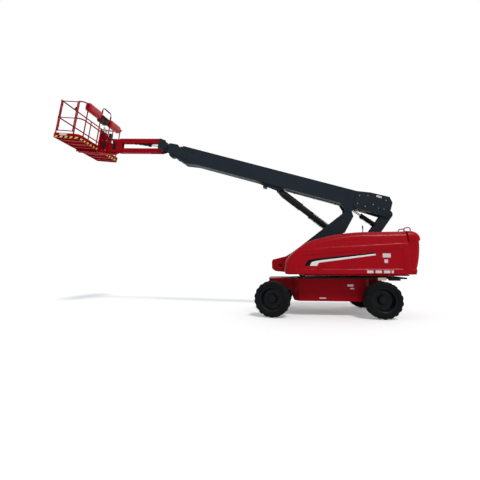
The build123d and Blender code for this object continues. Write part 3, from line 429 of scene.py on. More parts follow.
def tube(bm, a, b, radius, segments=20):
    """Straight round bar between two points."""
    a, b = Vector(a), Vector(b)
    matrix = frame_at(a, b - a)
    lathe(bm, ((0, 0), (radius, 0), (radius, (b - a).length), (0, (b - a).length)), matrix, segments)


# Wheels

AXLE_X, KINGPIN_Y, AXLE_Z = 1.3175, 0.745, 0.455
TYRE_MIDDLE = 0.325
TREAD_RADIUS = 0.4445
FRONT_STEER = -13


def wheel_frame(axle, side, steer):
    """Matrix at the kingpin's line with z outwards along the axle and x forward."""
    a = radians(steer)
    return frame_at((axle * AXLE_X, side * KINGPIN_Y, AXLE_Z),
                    (-side * sin(a), side * cos(a), 0), (cos(a), sin(a), 0))


def wheel_point(matrix, r, a, z):
    """Point of a wheel at an angle from forward to up, at a distance out along the axle."""
    forward = matrix.col[0].to_3d()
    out = matrix.col[2].to_3d()
    return matrix.translation + forward * (r * cos(a)) + Vector((0, 0, 1)) * (r * sin(a)) + out * z


# Tyre's side as rows of radius and distance from the middle
TYRE_SIDE = (
    (0.276, 0.125), (0.286, 0.131), (0.298, 0.138), (0.305, 0.147), (0.31, 0.1555), (0.3135, 0.1605),
    (0.317, 0.164), (0.3205, 0.164), (0.3235, 0.1612), (0.331, 0.1645), (0.342, 0.169), (0.352, 0.1715),
    (0.355, 0.1738), (0.359, 0.1742), (0.362, 0.1722), (0.377, 0.1722), (0.394, 0.17), (0.412, 0.164),
    (0.429, 0.151), (0.4375, 0.13), (0.4425, 0.1), (0.444, 0.05))
# Slanted lugs that curve down over the shoulder, as sections: distance from the middle, low and high
# edge along the tread in millimetres, radius at the top and at the base
LUGS = 18
LUG = ((0.006, -30, 30, 0.4545, 0.43), (0.04, -27, 38, 0.4548, 0.43), (0.085, -22, 50, 0.4548, 0.43),
       (0.125, -18, 62, 0.454, 0.425), (0.147, -15, 68, 0.449, 0.415), (0.16, -11, 68, 0.439, 0.405),
       (0.168, -4, 60, 0.424, 0.4))
# Angle from a lug's middle to its corner, which stands on the ground
LUG_CORNER = degrees(atan2(0.058, 0.4513))


def tyre(tag, matrix):
    bm = bmesh.new()
    profile = [(r, TYRE_MIDDLE + d) for r, d in TYRE_SIDE] + [(TREAD_RADIUS, TYRE_MIDDLE)]
    profile += [(r, TYRE_MIDDLE - d) for r, d in reversed(TYRE_SIDE)]
    lathe(bm, profile, matrix, 108)
    for row in (-1, 1):
        for k in range(LUGS):
            middle = radians(-90 + LUG_CORNER + 360 / LUGS * (k + 0.25 * (row + 1)))
            sections = []
            for d, lo, hi, top, base in LUG:
                edges = ((lo - 4, base), (lo, top), (hi, top), (hi + 4, base))
                sections.append([bm.verts.new(wheel_point(matrix, r, middle + along / 1000 / 0.45,
                                                          TYRE_MIDDLE + row * d)) for along, r in edges])
            skin(bm, sections, caps=True)
    obj = piece(f"look_tyre_{tag}", bm, "tyre", f"wheel_{tag}", bevel=0.003, segments=1, smooth=40)
    stand_in(f"tyre_{tag}")


# Closed section of the rim, and the hub in front of it, as rows of radius and distance from the kingpin
RIM = (
    (0.275, 0.2), (0.275, 0.452), (0.291, 0.46), (0.2975, 0.4645), (0.2995, 0.4695), (0.2985, 0.474),
    (0.2945, 0.475), (0.287, 0.4725), (0.279, 0.468), (0.273, 0.46), (0.268, 0.45), (0.2655, 0.44),
    (0.2645, 0.425), (0.2635, 0.37), (0.261, 0.356), (0.256, 0.348), (0.25, 0.342), (0.244, 0.332),
    (0.237, 0.312), (0.232, 0.303), (0.224, 0.2995), (0.214, 0.299), (0.14, 0.299), (0.136, 0.299),
    (0, 0.299), (0, 0.2855), (0.232, 0.2855), (0.254, 0.29), (0.261, 0.285), (0.2635, 0.27),
    (0.264, 0.2), (0.269, 0.189), (0.278, 0.181), (0.293, 0.1755), (0.2985, 0.177), (0.299, 0.182),
    (0.291, 0.189))
HUB = (
    (0.131, 0.2992), (0.131, 0.314), (0.128, 0.318), (0.112, 0.319), (0.107, 0.323), (0.105, 0.372),
    (0.101, 0.386), (0.092, 0.3945), (0.072, 0.3985), (0.058, 0.3995), (0.0565, 0.408), (0.052, 0.41),
    (0.02, 0.41), (0.018, 0.407), (0, 0.407))
# Circles of bolts: count, part of a pitch that they are turned, radius, place, size and height
WHEEL_BOLTS = ((9, 0, 0.17, 0.299, 0.0175, 0.022), (16, 0.5, 0.119, 0.318, 0.0085, 0.01),
               (6, 0, 0.08, 0.397, 0.007, 0.008))
VALVE = ((0, -0.012), (0.006, -0.012), (0.006, 0.02), (0.0042, 0.023), (0.0042, 0.05), (0.0052, 0.052),
         (0.0052, 0.06), (0, 0.061))


def rim(tag, matrix):
    body = f"wheel_{tag}"
    dish = turned(f"look_rim_{tag}", RIM, matrix, 96, "rim_black", body, smooth=32)
    stand_in(f"rim_{tag}")
    bm = bmesh.new()
    lathe(bm, HUB, matrix, 72)
    out = matrix.col[2].to_3d()
    for count, turn, radius, z, size, height in WHEEL_BOLTS:
        for k in range(count):
            hexagon(bm, wheel_point(matrix, radius, tau * (k + turn) / count, z), out, size, height)
    hub = piece(f"look_hub_{tag}", bm, "hub_dark", body, smooth=32)
    # Valve stem at the dish's edge
    bm = bmesh.new()
    lathe(bm, VALVE, frame_at(wheel_point(matrix, 0.246, radians(-60), 0.335), out), 14)
    piece(f"look_valve_{tag}", bm, "tyre", body)


SIDES = ((1, "left"), (-1, "right"))
for axle, end, steer in ((1, "front", FRONT_STEER), (-1, "rear", 0)):
    for side, tag in SIDES:
        matrix = wheel_frame(axle, side, steer)
        tyre(f"{end}_{tag}", matrix)
        rim(f"{end}_{tag}", matrix)

# Hoods

HOOD_OUT, HOOD_IN, HOOD_LOW, HOOD_REAR, HOOD_FRONT = 1.2145, 0.361, 1.079, -1.984, 1.045
ROUND = 0.13
# Lean above the crease, depth of the crease, and of the pressed panel with the bead on it
LEAN, CREASE, PANEL, BEAD = 0.26, 0.012, 0.022, 0.007
WALL, LIP = 0.006, 0.012
SIDE_ROWS = 46


def arc_points(a, b, c, steps):
    """Points of the arc through three points, without its last one."""
    (ax, ay), (bx, by), (cx, cy) = a, b, c
    d = 2 * (ax * (by - cy) + bx * (cy - ay) + cx * (ay - by))
    aa, bb, cc = ax ** 2 + ay ** 2, bx ** 2 + by ** 2, cx ** 2 + cy ** 2
    ux = (aa * (by - cy) + bb * (cy - ay) + cc * (ay - by)) / d
    uy = (aa * (cx - bx) + bb * (ax - cx) + cc * (bx - ax)) / d
    r = hypot(ax - ux, ay - uy)
    start, stop = atan2(ay - uy, ax - ux), atan2(cy - uy, cx - ux)
    if stop > start:
        stop -= tau
    angles = [start + (stop - start) * k / steps for k in range(steps)]
    return [(ux + x, uy + y) for x, y in (polar(r, a) for a in angles)]


def straight(a, b, steps):
    """Points of the line between two points, without its last one."""
    return [(a[0] + (b[0] - a[0]) * k / steps, a[1] + (b[1] - a[1]) * k / steps) for k in range(steps)]


def hood_top():
    """Top line of a hood from its rear to the foot of its front, as X and Z."""
    back, saddle, brow = (-1.2, 2.149), (0.165, 1.989), (1.0445, 1.4)
    chin, foot = (1.079, 1.18), (1.05, HOOD_LOW)
    return (straight((HOOD_REAR, 2.159), back, 24) + arc_points(back, (-0.435, 2.111), saddle, 60)
            + arc_points(saddle, (0.674, 1.776), brow, 60) + straight(brow, chin, 10)
            + straight(chin, foot, 5) + [foot])


TOP = hood_top()


def shoulder(x):
    """Height of the crease below which the side stands upright."""
    return 1.836 - 0.05 * (x + 1.985) - 0.05 * max(0, x + 0.2) ** 1.6


def step(value, low, high):
    t = min(1.0, max(0, (value - low) / (high - low)))
    return t * t * (3 - 2 * t)


def hood_side(x, z):
    """How far out the side wall stands, with its leaning top panel and pressed-in middle."""
    crease, front = shoulder(x), 0.35 * (1.6 - z)
    y = HOOD_OUT
    y -= LEAN * max(0, z - crease) + CREASE * step(z, crease - 0.004, crease + 0.012)
    inside = min(step(x, -1.85, -1.83), 1 - step(x, 0.62 + front, 0.65 + front),
                 step(z, 1.196, 1.212), 1 - step(z, crease - 0.135, crease - 0.115))
    y -= PANEL * inside
    # Bead above the panel's lower edge
    y += BEAD * inside * step(z, 1.232, 1.24) * (1 - step(z, 1.25, 1.262))
    # The front end pulls in towards the nose
    y -= 0.11 * max(0, (x - 0.55) / 0.5) ** 2.2
    # The lower edge turns under
    y -= 0.022 * (1 - step(z, HOOD_LOW, HOOD_LOW + 0.035)) ** 2
    return y


def hood(tag, side):
    """Pressed sheet: each column runs from the inner edge over the rounded top and down the side."""
    bm = bmesh.new()
    columns = []
    for k, (x, z) in enumerate(TOP):
        a, b = TOP[max(0, k - 1)], TOP[min(len(TOP) - 1, k + 1)]
        dx, dz = b[0] - a[0], b[1] - a[1]
        n = hypot(dx, dz)
        nx, nz = -dz / n, dx / n
        if nz < 0 and nx < 0:
            nx, nz = -nx, -nz
        column = [(x - nx * LIP, HOOD_IN, z - nz * LIP), (x, HOOD_IN, z)]
        # Less room for the rounding where the outline is pulled tight at the foot
        keep = 1 - step(z, HOOD_LOW + 0.02, HOOD_LOW + 0.25)
        radius = ROUND * (1 - keep * 0.55)
        for j in range(9):
            a = radians(90 * j / 8)
            inset = radius * (1 - cos(a))
            px, pz = x - nx * inset, max(HOOD_LOW, z - nz * inset)
            y = hood_side(px, pz) - radius * (1 - sin(a))
            if j == 0:
                for t in (0.2, 0.4, 0.6, 0.8):
                    column.append((px, HOOD_IN + (y - HOOD_IN) * t, pz))
            column.append((px, y, pz))
        px, _, pz = column[-1]
        reach = TOP[-1][0] - radius * 0.4 - HOOD_REAR
        foot_x = min(HOOD_REAR + (px - HOOD_REAR) * (HOOD_FRONT - HOOD_REAR) / reach, HOOD_FRONT)
        for j in range(1, SIDE_ROWS + 1):
            t = j / SIDE_ROWS
            qx = px + (foot_x - px) * t
            qz = pz + (HOOD_LOW - pz) * t
            column.append((qx, hood_side(qx, qz), qz))
        # Turned-in lower edge
        qx, qy, qz = column[-1]
        column.append((qx, qy - LIP, qz))
        column.append((qx, qy - LIP, qz + 0.02))
        columns.append([bm.verts.new((px, side * py, pz)) for px, py, pz in column])
    skin(bm, columns)
    bmesh.ops.remove_doubles(bm, verts=bm.verts, dist=0.0004)
    obj = piece(f"look_hood_{tag}", bm, "hood_red", f"hood_{tag}", smooth=50)
    thicken(obj, WALL)
    stand_in(f"hood_{tag}")


for side, tag in SIDES:
    hood(tag, side)

FILM, FILM_PROUD, FILM_STEPS = 0.0012, 0.0016, 16


def decal(kind, lower, upper, side, tag):
    """Thin film on a hood's side between two lines of X and Z with like corners."""
    bm = bmesh.new()
    rows = []
    for (a, b), (c, d) in zip(zip(lower, lower[1:]), zip(upper, upper[1:])):
        for k in range(FILM_STEPS + 1):
            t = k / FILM_STEPS
            (x0, z0), (x1, z1) = [(p[0] + (q[0] - p[0]) * t, p[1] + (q[1] - p[1]) * t)
                                  for p, q in ((a, b), (c, d))]
            line = [(x0 + (x1 - x0) * s, z0 + (z1 - z0) * s) for s in (0, 0.33, 0.67, 1)]
            rows.append([bm.verts.new((x, side * (hood_side(x, z) + FILM_PROUD), z)) for x, z in line])
    skin(bm, rows)
    bmesh.ops.remove_doubles(bm, verts=bm.verts, dist=0.0003)
    thicken(piece(f"stripe_{kind}_{tag}", bm, f"film_{kind}", f"hood_{tag}", smooth=60), FILM)


STRIPE_LOW = ((0.262, 1.287), (0.236, 1.328), (0.205, 1.366), (-1.186, 1.553))
STRIPE_MIDDLE = ((0.445, 1.29), (0.39, 1.385), (0.228, 1.422), (-1.174, 1.589))
STRIPE_TOP = ((0.579, 1.284), (0.48, 1.437), (0.262, 1.474), (-1.165, 1.618))
for side, tag in SIDES:
    decal("black", STRIPE_MIDDLE, STRIPE_TOP, side, tag)
    decal("white", STRIPE_LOW, STRIPE_MIDDLE, side, tag)

# Tail


def plan_stack(bm, levels, front):
    """Stack of half-round plans: each level is height, rear X, half width and corner radius."""
    rings = []
    for z, rear, half, radius in levels:
        ring = [(front, half)]
        for k in range(11):
            a = radians(90 + 90 * k / 10)
            ring.append((rear + radius + radius * cos(a), half - radius + radius * sin(a)))
        for k in range(1, 8):
            ring.append((rear, (half - radius) * (1 - 2 * k / 8)))
        ring += [(x, -y) for x, y in reversed(ring[:12])]
        rings.append([bm.verts.new((x, y, z)) for x, y in ring])
    skin(bm, rings, closed=True, caps=True)


TAIL_FRONT = -1.9915
# Lower lip and upper rim of the casting, between them a wall that bellies out from one rear X to the other
LIP_LEVELS = [(1.079, -2.139, 1.19, 0.1), (1.082, -2.145, 1.2, 0.1), (1.1, -2.15, 1.208, 0.1),
              (1.18, -2.166, 1.208, 0.1), (1.196, -2.168, 1.204, 0.1), (1.206, -2.16, 1.196, 0.1),
              (1.222, -2.162, 1.194, 0.1)]
WALL_LOW, WALL_HIGH, WALL_REAR, BELLY_REAR, WALL_HALF = 1.222, 1.9, 2.162, 2.262, 1.194
RIM_LEVELS = [(1.908, -2.268, 1.198, 0.1), (1.918, -2.282, 1.21, 0.105), (1.93, -2.289, 1.2145, 0.11),
              (1.945, -2.2895, 1.2145, 0.11)]
CROWN, CROWN_INSET = 0.2145, 0.17


def tail():
    bm = bmesh.new()
    levels = list(LIP_LEVELS)
    for k in range(1, 13):
        t = k / 12
        rear = -WALL_REAR * (1 - t) ** 2 - 2 * BELLY_REAR * t * (1 - t) - BELLY_REAR * t ** 2
        levels.append((WALL_LOW + (WALL_HIGH - WALL_LOW) * t, rear, WALL_HALF, 0.1))
    levels += RIM_LEVELS
    z, rear, half, radius = RIM_LEVELS[-1]
    for k in range(1, 13):
        a = radians(90 * k / 12)
        inset = CROWN_INSET * (1 - cos(a))
        levels.append((z + CROWN * sin(a), rear + inset, half - inset * 0.75, radius + inset * 0.2))
    plan_stack(bm, levels, TAIL_FRONT)
    # Seat against the turntable's side plates
    prism(bm, rounded(TAIL_FRONT, -0.32, -1.9604, 0.32, 0.01, 2), 1.08, 1.477, WORLD)
    obj = piece("look_tail", bm, "cast_red", "turntable", smooth=30)
    stand_in("counterweight")


tail()

# Bolts and plates


def plate(name, centre, out, along, width, height, body):
    """Blank white plate with round corners on a surface."""
    bm = bmesh.new()
    prism(bm, rounded(-width / 2, -height / 2, width / 2, height / 2, min(width, height) * 0.12, 4),
          0.0003, 0.002, frame_at(centre, out, along))
    piece(name, bm, "plate_white", body, bevel=0.0006, segments=1)


def bolt_row(name, places, out, size, height, mat, body):
    bm = bmesh.new()
    for p in places:
        hexagon(bm, p, out, size, height)
    piece(name, bm, mat, body, smooth=32)


BOOM_PIN = Vector((-0.775, 0, 2.842))
BOOM_ANGLE = radians(16.8)


def on_boom(u, y, w):
    """Point from lengths along the boom, across it and square to it."""
    return Vector((BOOM_PIN.x + cos(BOOM_ANGLE) * u - sin(BOOM_ANGLE) * w, y,
                   BOOM_PIN.z + sin(BOOM_ANGLE) * u + cos(BOOM_ANGLE) * w))


# The rotator's frame, its z up its shaft, and the platform's own: x away from the jib, y along the platform
ROTATOR = Matrix.Translation((6.43, 0, 4.918)) @ spin(-7, "Y")
DECK = ROTATOR @ spin(-1.5, "Z")
SIDE_IN, SIDE_OUT, HALF_LENGTH = 0.497, 1.317, 1.175
RAIL_IN, RAIL_OUT, RAIL_END = 0.5213, 1.2927, 1.1507
TOP_RAIL = 1.12


def on_deck(x, y, z):
    """Point from the platform's own lengths."""
    return at(DECK, x, y, z)


BOOM = Matrix.Translation(BOOM_PIN) @ Matrix.Rotation(-BOOM_ANGLE, 4, "Y")
BOOM_ALONG = BOOM.col[0].to_3d()
FORWARD = (1, 0, 0)
# Plates on a hood as X, Z, width and height, and on the chassis as X, Y, Z, width and height
HOOD_PLATES = ((-1.44, 1.545, 0.19, 0.1), (-1.42, 1.405, 0.085, 0.085))
LOW_PLATES = [(x, 1.145, w, 0.065) for x, w in ((-1.02, 0.15), (-1.22, 0.15), (-1.42, 0.15), (-1.55, 0.05))]
FRAME_PLATES = ((0.757, 0.6253, 0.8, 0.11, 0.045), (0.757, 0.6253, 0.735, 0.07, 0.022),
                (-0.614, 0.8003, 0.784, 0.155, 0.052), (-0.655, 0.8003, 0.705, 0.1, 0.03),
                (0.098, 0.8003, 0.457, 0.165, 0.03))
TAIL_BOLTS = ((-0.2, 0.27), (-0.2, 0.5), (-0.42, 0.24), (-0.42, 0.56), (-0.78, 0.28), (-0.62, 0.35),
              (-0.93, 0.56), (-0.93, 0.3))
TAIL_SIDE, MOUTH_SIDE = 0.205, 0.18

for side, tag in SIDES:
    out = (0, side, 0)
    for kind, rows in (("plate", HOOD_PLATES), ("low_plate", LOW_PLATES)):
        for number, (x, z, w, h) in enumerate(rows):
            centre = (x, side * (hood_side(x, z) + 0.001), z)
            plate(f"{kind}_{tag}_{number}", centre, out, FORWARD, w, h, f"hood_{tag}")
    for number, (x, y, z, w, h) in enumerate(FRAME_PLATES):
        plate(f"frame_plate_{tag}_{number}", (x, side * y, z), out, FORWARD, w, h, "chassis")
    plate(f"boom_plate_{tag}", on_boom(-0.72, side * 0.2055, 0.615), out, BOOM_ALONG, 0.15, 0.055,
          "boom_outer")
    places = [on_boom(u, side * TAIL_SIDE, w) for u, w in TAIL_BOLTS]
    bolt_row(f"tail_bolts_{tag}", places, out, 0.016, 0.014, "ring_steel", "boom_outer")
    places = [on_boom(u, side * MOUTH_SIDE, w) for u in (5.1, 5.26) for w in (0.26, 0.38, 0.5)]
    bolt_row(f"mouth_bolts_{tag}", places, out, 0.014, 0.012, "dark_paint", "boom_outer")

# Keeper plates over the ends of the main pins: number, X, Z, half length and radius
PINS = ((0, -0.775, 2.842, 0.241, 0.062, "dark_paint", "boom_outer"),
        (1, 1.17, 1.3, 0.301, 0.05, "black_paint", "turntable"),
        (2, -1.87, 2.72, 0.206, 0.055, "dark_paint", "boom_outer"),
        (3, 1.18, 3.511, 0.126, 0.055, "dark_paint", "boom_outer"),
        (5, 4.69, 4.935, 0.145, 0.045, "dark_paint", "boom_inner"),
        (6, 4.88, 4.88, 0.1405, 0.038, "red_paint", "boom_head"),
        (7, 4.88, 5.2, 0.1405, 0.038, "red_paint", "boom_head"))
for number, x, z, y, radius, finish, body in PINS:
    bm = bmesh.new()
    for side in (-1, 1):
        matrix = frame_at((x, side * y, z), (0, side, 0), FORWARD)
        lathe(bm, ((0, 0), (radius, 0), (radius, 0.006), (radius * 0.94, 0.009), (radius * 0.62, 0.009),
                   (radius * 0.58, 0.013), (0, 0.013)), matrix, 32)
        bolt_circle(bm, matrix, 3, 0.5, radius * 0.78, 0.009, radius * 0.13, 0.008)
    piece(f"pin_cap_{number}", bm, finish, body, smooth=32)

# Platform

# Moulded covers over the inner top rail, with round ends
COVER_MIDDLE, COVER_HALF, COVER_END = 0.62, 0.32, 0.055
COVER_STEPS = 28
for side, tag in SIDES:
    bm = bmesh.new()
    x0, x1, z0, z1 = RAIL_IN - 0.044, RAIL_IN + 0.154, TOP_RAIL - 0.169, TOP_RAIL + 0.089
    sections = []
    for k in range(COVER_STEPS + 1):
        t = -1 + 2 * k / COVER_STEPS
        s = copysign(abs(sin(t * pi / 2)), t)
        end = max(0, (abs(s) * COVER_HALF - (COVER_HALF - COVER_END)) / COVER_END)
        shrink = COVER_END * (1 - sqrt(max(0, 1 - min(1.0, end) ** 2)))
        radius = max(0.012, 0.085 - shrink * 0.4)
        ring = rounded(x0 + shrink, z0 + shrink, x1 - shrink, z1 - shrink, radius)
        y = side * COVER_MIDDLE + s * COVER_HALF
        sections.append([bm.verts.new(on_deck(x, y, z)) for x, z in ring])
    skin(bm, sections, closed=True, caps=True)
    cover = piece(f"look_cover_{tag}", bm, "cover_red", "platform", smooth=50)
    if side > 0:
        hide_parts("rail_covers")


CONSOLE_SIDE = ((0.0205, -0.188), (0.178, -0.188), (0.228, -0.04), (0.06, 0.048), (0.0205, 0.048))
LEVER = ((0, 0), (0.03, 0), (0.027, 0.01), (0.022, 0.016), (0.018, 0.026), (0.013, 0.034),
         (0.009, 0.04), (0.008, 0.08), (0.015, 0.092), (0.018, 0.108), (0.014, 0.122), (0, 0.126))
SWITCH = ((0, 0), (0.008, 0), (0.007, 0.004), (0.003, 0.005), (0.004, 0.02), (0, 0.021))
STOP = ((0, 0), (0.012, 0), (0.012, 0.014), (0.02, 0.016), (0.021, 0.024), (0.016, 0.03), (0, 0.032))


def console():
    """Control box: a case of two sloped halves with two levers, six switches and a stop button."""
    bm = bmesh.new()
    # The side view's x and z, with z of the matrix along the platform
    upright = Matrix(((1, 0, 0, 0), (0, 0, -1, 0), (0, 1, 0, 0), (0, 0, 0, 1)))
    matrix = DECK @ (Matrix.Translation((RAIL_IN, 0, TOP_RAIL)) @ upright)
    for low, high in ((-0.188, -0.012), (0.012, 0.188)):
        prism(bm, CONSOLE_SIDE, low, high, matrix)
    prism(bm, [(x * 0.94 + 0.006, z * 0.9) for x, z in CONSOLE_SIDE], -0.012, 0.012, matrix)
    case = piece("look_console", bm, "console_black", "platform", bevel=0.012, segments=4)
    stand_in("control_console")
    # Square to the sloped top, and down its slope
    normal = DECK.to_3x3() @ Vector((0.4636, 0, 0.886))
    slide = DECK.to_3x3() @ Vector((0.886, 0, -0.4636))
    bm = bmesh.new()
    for y in (-0.135, -0.06, 0.06, 0.135):
        m = frame_at(on_deck(RAIL_IN + 0.125, y, TOP_RAIL + 0.0145), normal, slide)
        if abs(y) > 0.1:
            lathe(bm, LEVER, m, 24)
        else:
            for dx in (-0.035, 0, 0.035):
                lathe(bm, SWITCH, frame_at(at(m, dx, 0, 0), normal, slide), 14)
    piece("console_levers", bm, "console_black", "platform", smooth=40)
    bm = bmesh.new()
    lathe(bm, STOP, frame_at(on_deck(RAIL_IN + 0.165, 0.1, TOP_RAIL - 0.006), normal, slide), 28)
    piece("stop_button", bm, "cover_red", "platform", smooth=40)


console()

# Chequered floor: rows of raised bars on the deck plate
BAR_PITCH = 0.045
bm = bmesh.new()
for i in range(-9, 10):
    for j in range(-24, 25):
        x, y = (SIDE_IN + SIDE_OUT) / 2 + i * BAR_PITCH, j * BAR_PITCH
        corner = x < SIDE_IN + 0.12 and abs(y) > 1.06
        if corner or x < SIDE_IN + 0.03 or x > SIDE_OUT - 0.03 or abs(y) > 1.14:
            continue
        prism(bm, ((-0.014, 0), (0, -0.0035), (0.014, 0), (0, 0.0035)), 0, 0.0016,
              DECK @ Matrix.Translation((x, y, 0)) @ spin(45 if (i + j) % 2 else -45, "Z"))
piece("floor_bars", bm, "deck_red", "platform", smooth=20)

# Hazard tape along the toe boards' lower part, as a band with slanted stripes
TAPE_LOW, TAPE_HIGH, TAPE_PITCH, TAPE_LEAN, TAPE_START = -0.043, 0.012, 0.16, 0.04, 0.03
STRIPE = TAPE_PITCH / 2


def toe_path(proud):
    """Outside line of the toe boards, from the gate's corner round to the outer side, as x and y."""
    x_in, x_out, end, radius = SIDE_IN - proud, SIDE_OUT + proud, HALF_LENGTH + proud, 0.15 + proud
    line = [(x_out, end)]
    for centre_y, start in ((end - radius, 90), (radius - end, 180)):
        for k in range(13):
            a = radians(start + 90 * k / 12)
            line.append((x_in + radius + radius * cos(a), centre_y + radius * sin(a)))
    line.append((x_out, -end))
    return line


def walk(line, distance):
    """Point at a distance along a line of points."""
    for a, b in zip(line, line[1:]):
        n = dist(a, b)
        if distance <= n:
            return a[0] + (b[0] - a[0]) * distance / n, a[1] + (b[1] - a[1]) * distance / n
        distance -= n
    return line[-1]


def tape(name, mat, start, line):
    """Every second stripe of the band, from a start along a line."""
    total = sum(dist(a, b) for a, b in zip(line, line[1:]))
    bm = bmesh.new()
    while start + STRIPE + TAPE_LEAN < total:
        columns = []
        for k in range(9):
            low = walk(line, start + STRIPE * k / 8)
            high = walk(line, start + STRIPE * k / 8 + TAPE_LEAN)
            columns.append((bm.verts.new(on_deck(*low, TAPE_LOW)), bm.verts.new(on_deck(*high, TAPE_HIGH))))
        for (a, b), (c, d) in zip(columns, columns[1:]):
            bm.faces.new((a, c, d, b))
        start += TAPE_PITCH
    thicken(piece(name, bm, mat, "platform", smooth=50), 0.0006, 0)


OUTER_X = SIDE_OUT + 0.0007
for place, line in (("", toe_path(0.0016)), ("_outer", [(OUTER_X, -HALF_LENGTH), (OUTER_X, HALF_LENGTH)])):
    tape(f"tape_yellow{place}", "tape_yellow", TAPE_START, line)
    tape(f"tape_black{place}", "film_black", TAPE_START + STRIPE, line)
deck_x = DECK.col[0].to_3d()
deck_y = DECK.col[1].to_3d()
plate("toe_plate", on_deck(1.02, HALF_LENGTH + 0.0003, 0.062), deck_y, deck_x, 0.24, 0.06, "platform")
plate("toe_plate_outer", on_deck(SIDE_OUT + 0.0003, 0.1, 0.062), deck_x, deck_y, 0.5, 0.06, "platform")

# Rotator: drum, end rings with bolts, and its motor with three pipes
DRUM_IN = 0.0655
bm = bmesh.new()
for low, high, radius, edge in ((-0.039, -0.01, 0.078, 0.003), (0.357, 0.386, 0.078, 0.003),
                                (0.06, 0.075, 0.0695, 0.002), (0.165, 0.18, 0.0695, 0.002),
                                (0.27, 0.285, 0.0695, 0.002)):
    lathe(bm, ((DRUM_IN, low), (radius, low + edge), (radius, high - edge), (DRUM_IN, high)), ROTATOR, 40)
piece("rotator_rings", bm, "black_paint", "jib_end")
turned("rotator_drum", ((0.0652, -0.036), (0.118, -0.036), (0.124, -0.03), (0.124, 0.02), (0.112, 0.03),
                        (0.112, 0.3), (0.124, 0.31), (0.124, 0.374), (0.118, 0.381), (0.0652, 0.381)),
       ROTATOR, 56, "red_paint", "jib_end")
bm = bmesh.new()
bolt_circle(bm, ROTATOR, 10, tau / 20, 0.112, 0.3805, 0.006, 0.0045)
piece("rotator_bolts", bm, "zinc", "jib_end", smooth=32)
bm = bmesh.new()
box(bm, (-0.052, 0.065, 0.06), (0.04, 0.122, 0.29), ROTATOR, 0.012)
for low, high, radius in ((0.29, 0.345, 0.03), (0.345, 0.352, 0.022)):
    tube(bm, at(ROTATOR, -0.006, 0.09, low), at(ROTATOR, -0.006, 0.09, high), radius)
piece("rotator_motor", bm, "console_black", "jib_end", bevel=0.003)
for number, (x, y, radius) in enumerate(((-0.03, 0.122, 0.0075), (-0.01, 0.124, 0.0075),
                                         (0.012, 0.122, 0.006))):
    line = ((x, y - 0.01, 0.24), (x, y + 0.01, 0.215), (x, y + 0.012, 0.13), (x - 0.03, y - 0.016, 0.03))
    pipe(f"rotator_pipe_{number}", [at(ROTATOR, *p) for p in line], radius, "hose", "jib_end")

# Upright bracket between the rotator and the platform, with its boxes and pipes
BRACKET_X = 0.2465
bm = bmesh.new()
for side in (-1, 1):
    for x, z in ((0.3, 0), (0.3, 0.33), (0.44, 0), (0.44, 0.33), (0.44, 0.5)):
        hexagon(bm, on_deck(x, side * 0.0952, z), deck_y * side, 0.011, 0.01)
for y in (-0.155, 0.155):
    for z in (-0.02, 0.16, 0.34, 0.52, 0.6):
        hexagon(bm, on_deck(SIDE_IN - 0.0145, y, z), -deck_x, 0.011, 0.01)
piece("bracket_bolts", bm, "zinc", "platform", smooth=32)
boxes("bracket_boxes", (((0.262, -0.06, 0.12), (BRACKET_X, 0.06, 0.3), 0),
                        ((0.3, 0.0955, 0.09), (0.42, 0.15, 0.24), 0.014),
                        ((0.32, -0.145, 0.05), (0.425, -0.0955, 0.22), 0.014)),
      DECK, "console_black", "platform", bevel=0.004, segments=3)
boxes("rotator_block", (((0.15, -0.055, -0.045), (BRACKET_X, 0.055, 0.28), 0.01),
                        ((0.142, -0.068, -0.045), (BRACKET_X, 0.068, -0.03), 0.012),
                        ((0.142, -0.068, 0.265), (BRACKET_X, 0.068, 0.28), 0.012)),
      DECK, "red_paint", "platform", bevel=0.003)
for number, (y, start_z, end_z) in enumerate(((0.108, 0.24, 0.78), (0.128, 0.24, 0.8), (-0.112, 0.22, 0.76))):
    line = ((0.35, y, start_z), (0.352, y, start_z + 0.12), (0.44, y * 0.9, 0.52), (0.47, y * 0.7, 0.64),
            (0.474, y * 0.6, end_z))
    pipe(f"bracket_pipe_{number}", [on_deck(*p) for p in line], 0.008, "hose", "platform")
boxes("pipe_clamps", [((SIDE_IN - 0.045, -0.1, z), (SIDE_IN - 0.012, 0.11, z + 0.016), 0.004)
                      for z in (0.66, 0.74)], DECK, "zinc", "platform", bevel=0.0015)

# Foam sleeves on the hoop, a foot switch and a socket box
HOOP = 0.25
bm = bmesh.new()
for low, high in (((-0.155, HOOP), (0.155, HOOP)), ((-HOOP, 0.05), (-HOOP, 0.155)),
                  ((HOOP, 0.05), (HOOP, 0.155))):
    a, b = (on_deck(RAIL_IN, y, TOP_RAIL + z) for y, z in (low, high))
    tube(bm, a, b, 0.022, 24)
piece("hoop_sleeves", bm, "hose", "platform")
bm = bmesh.new()
prism(bm, ((-0.12, -0.1), (0.12, -0.1), (0.12, 0.09), (-0.12, 0.09)), 0, 0.035,
      DECK @ Matrix.Translation((RAIL_IN + 0.2, 0.3, 0.001)))
prism(bm, ((-0.1, 0), (0.08, 0), (0.08, 0.045), (-0.1, 0.012)), -0.08, 0.08,
      DECK @ Matrix.Translation((RAIL_IN + 0.2, 0.295, 0.034)) @ spin(90, "X"))
piece("foot_switch", bm, "cover_red", "platform", bevel=0.006, segments=3)
boxes("socket_box", (((RAIL_IN + 0.022, -0.62, 0.6), (RAIL_IN + 0.095, -0.47, 0.78), 0.01),),
      DECK, "console_black", "platform", bevel=0.006, segments=3)

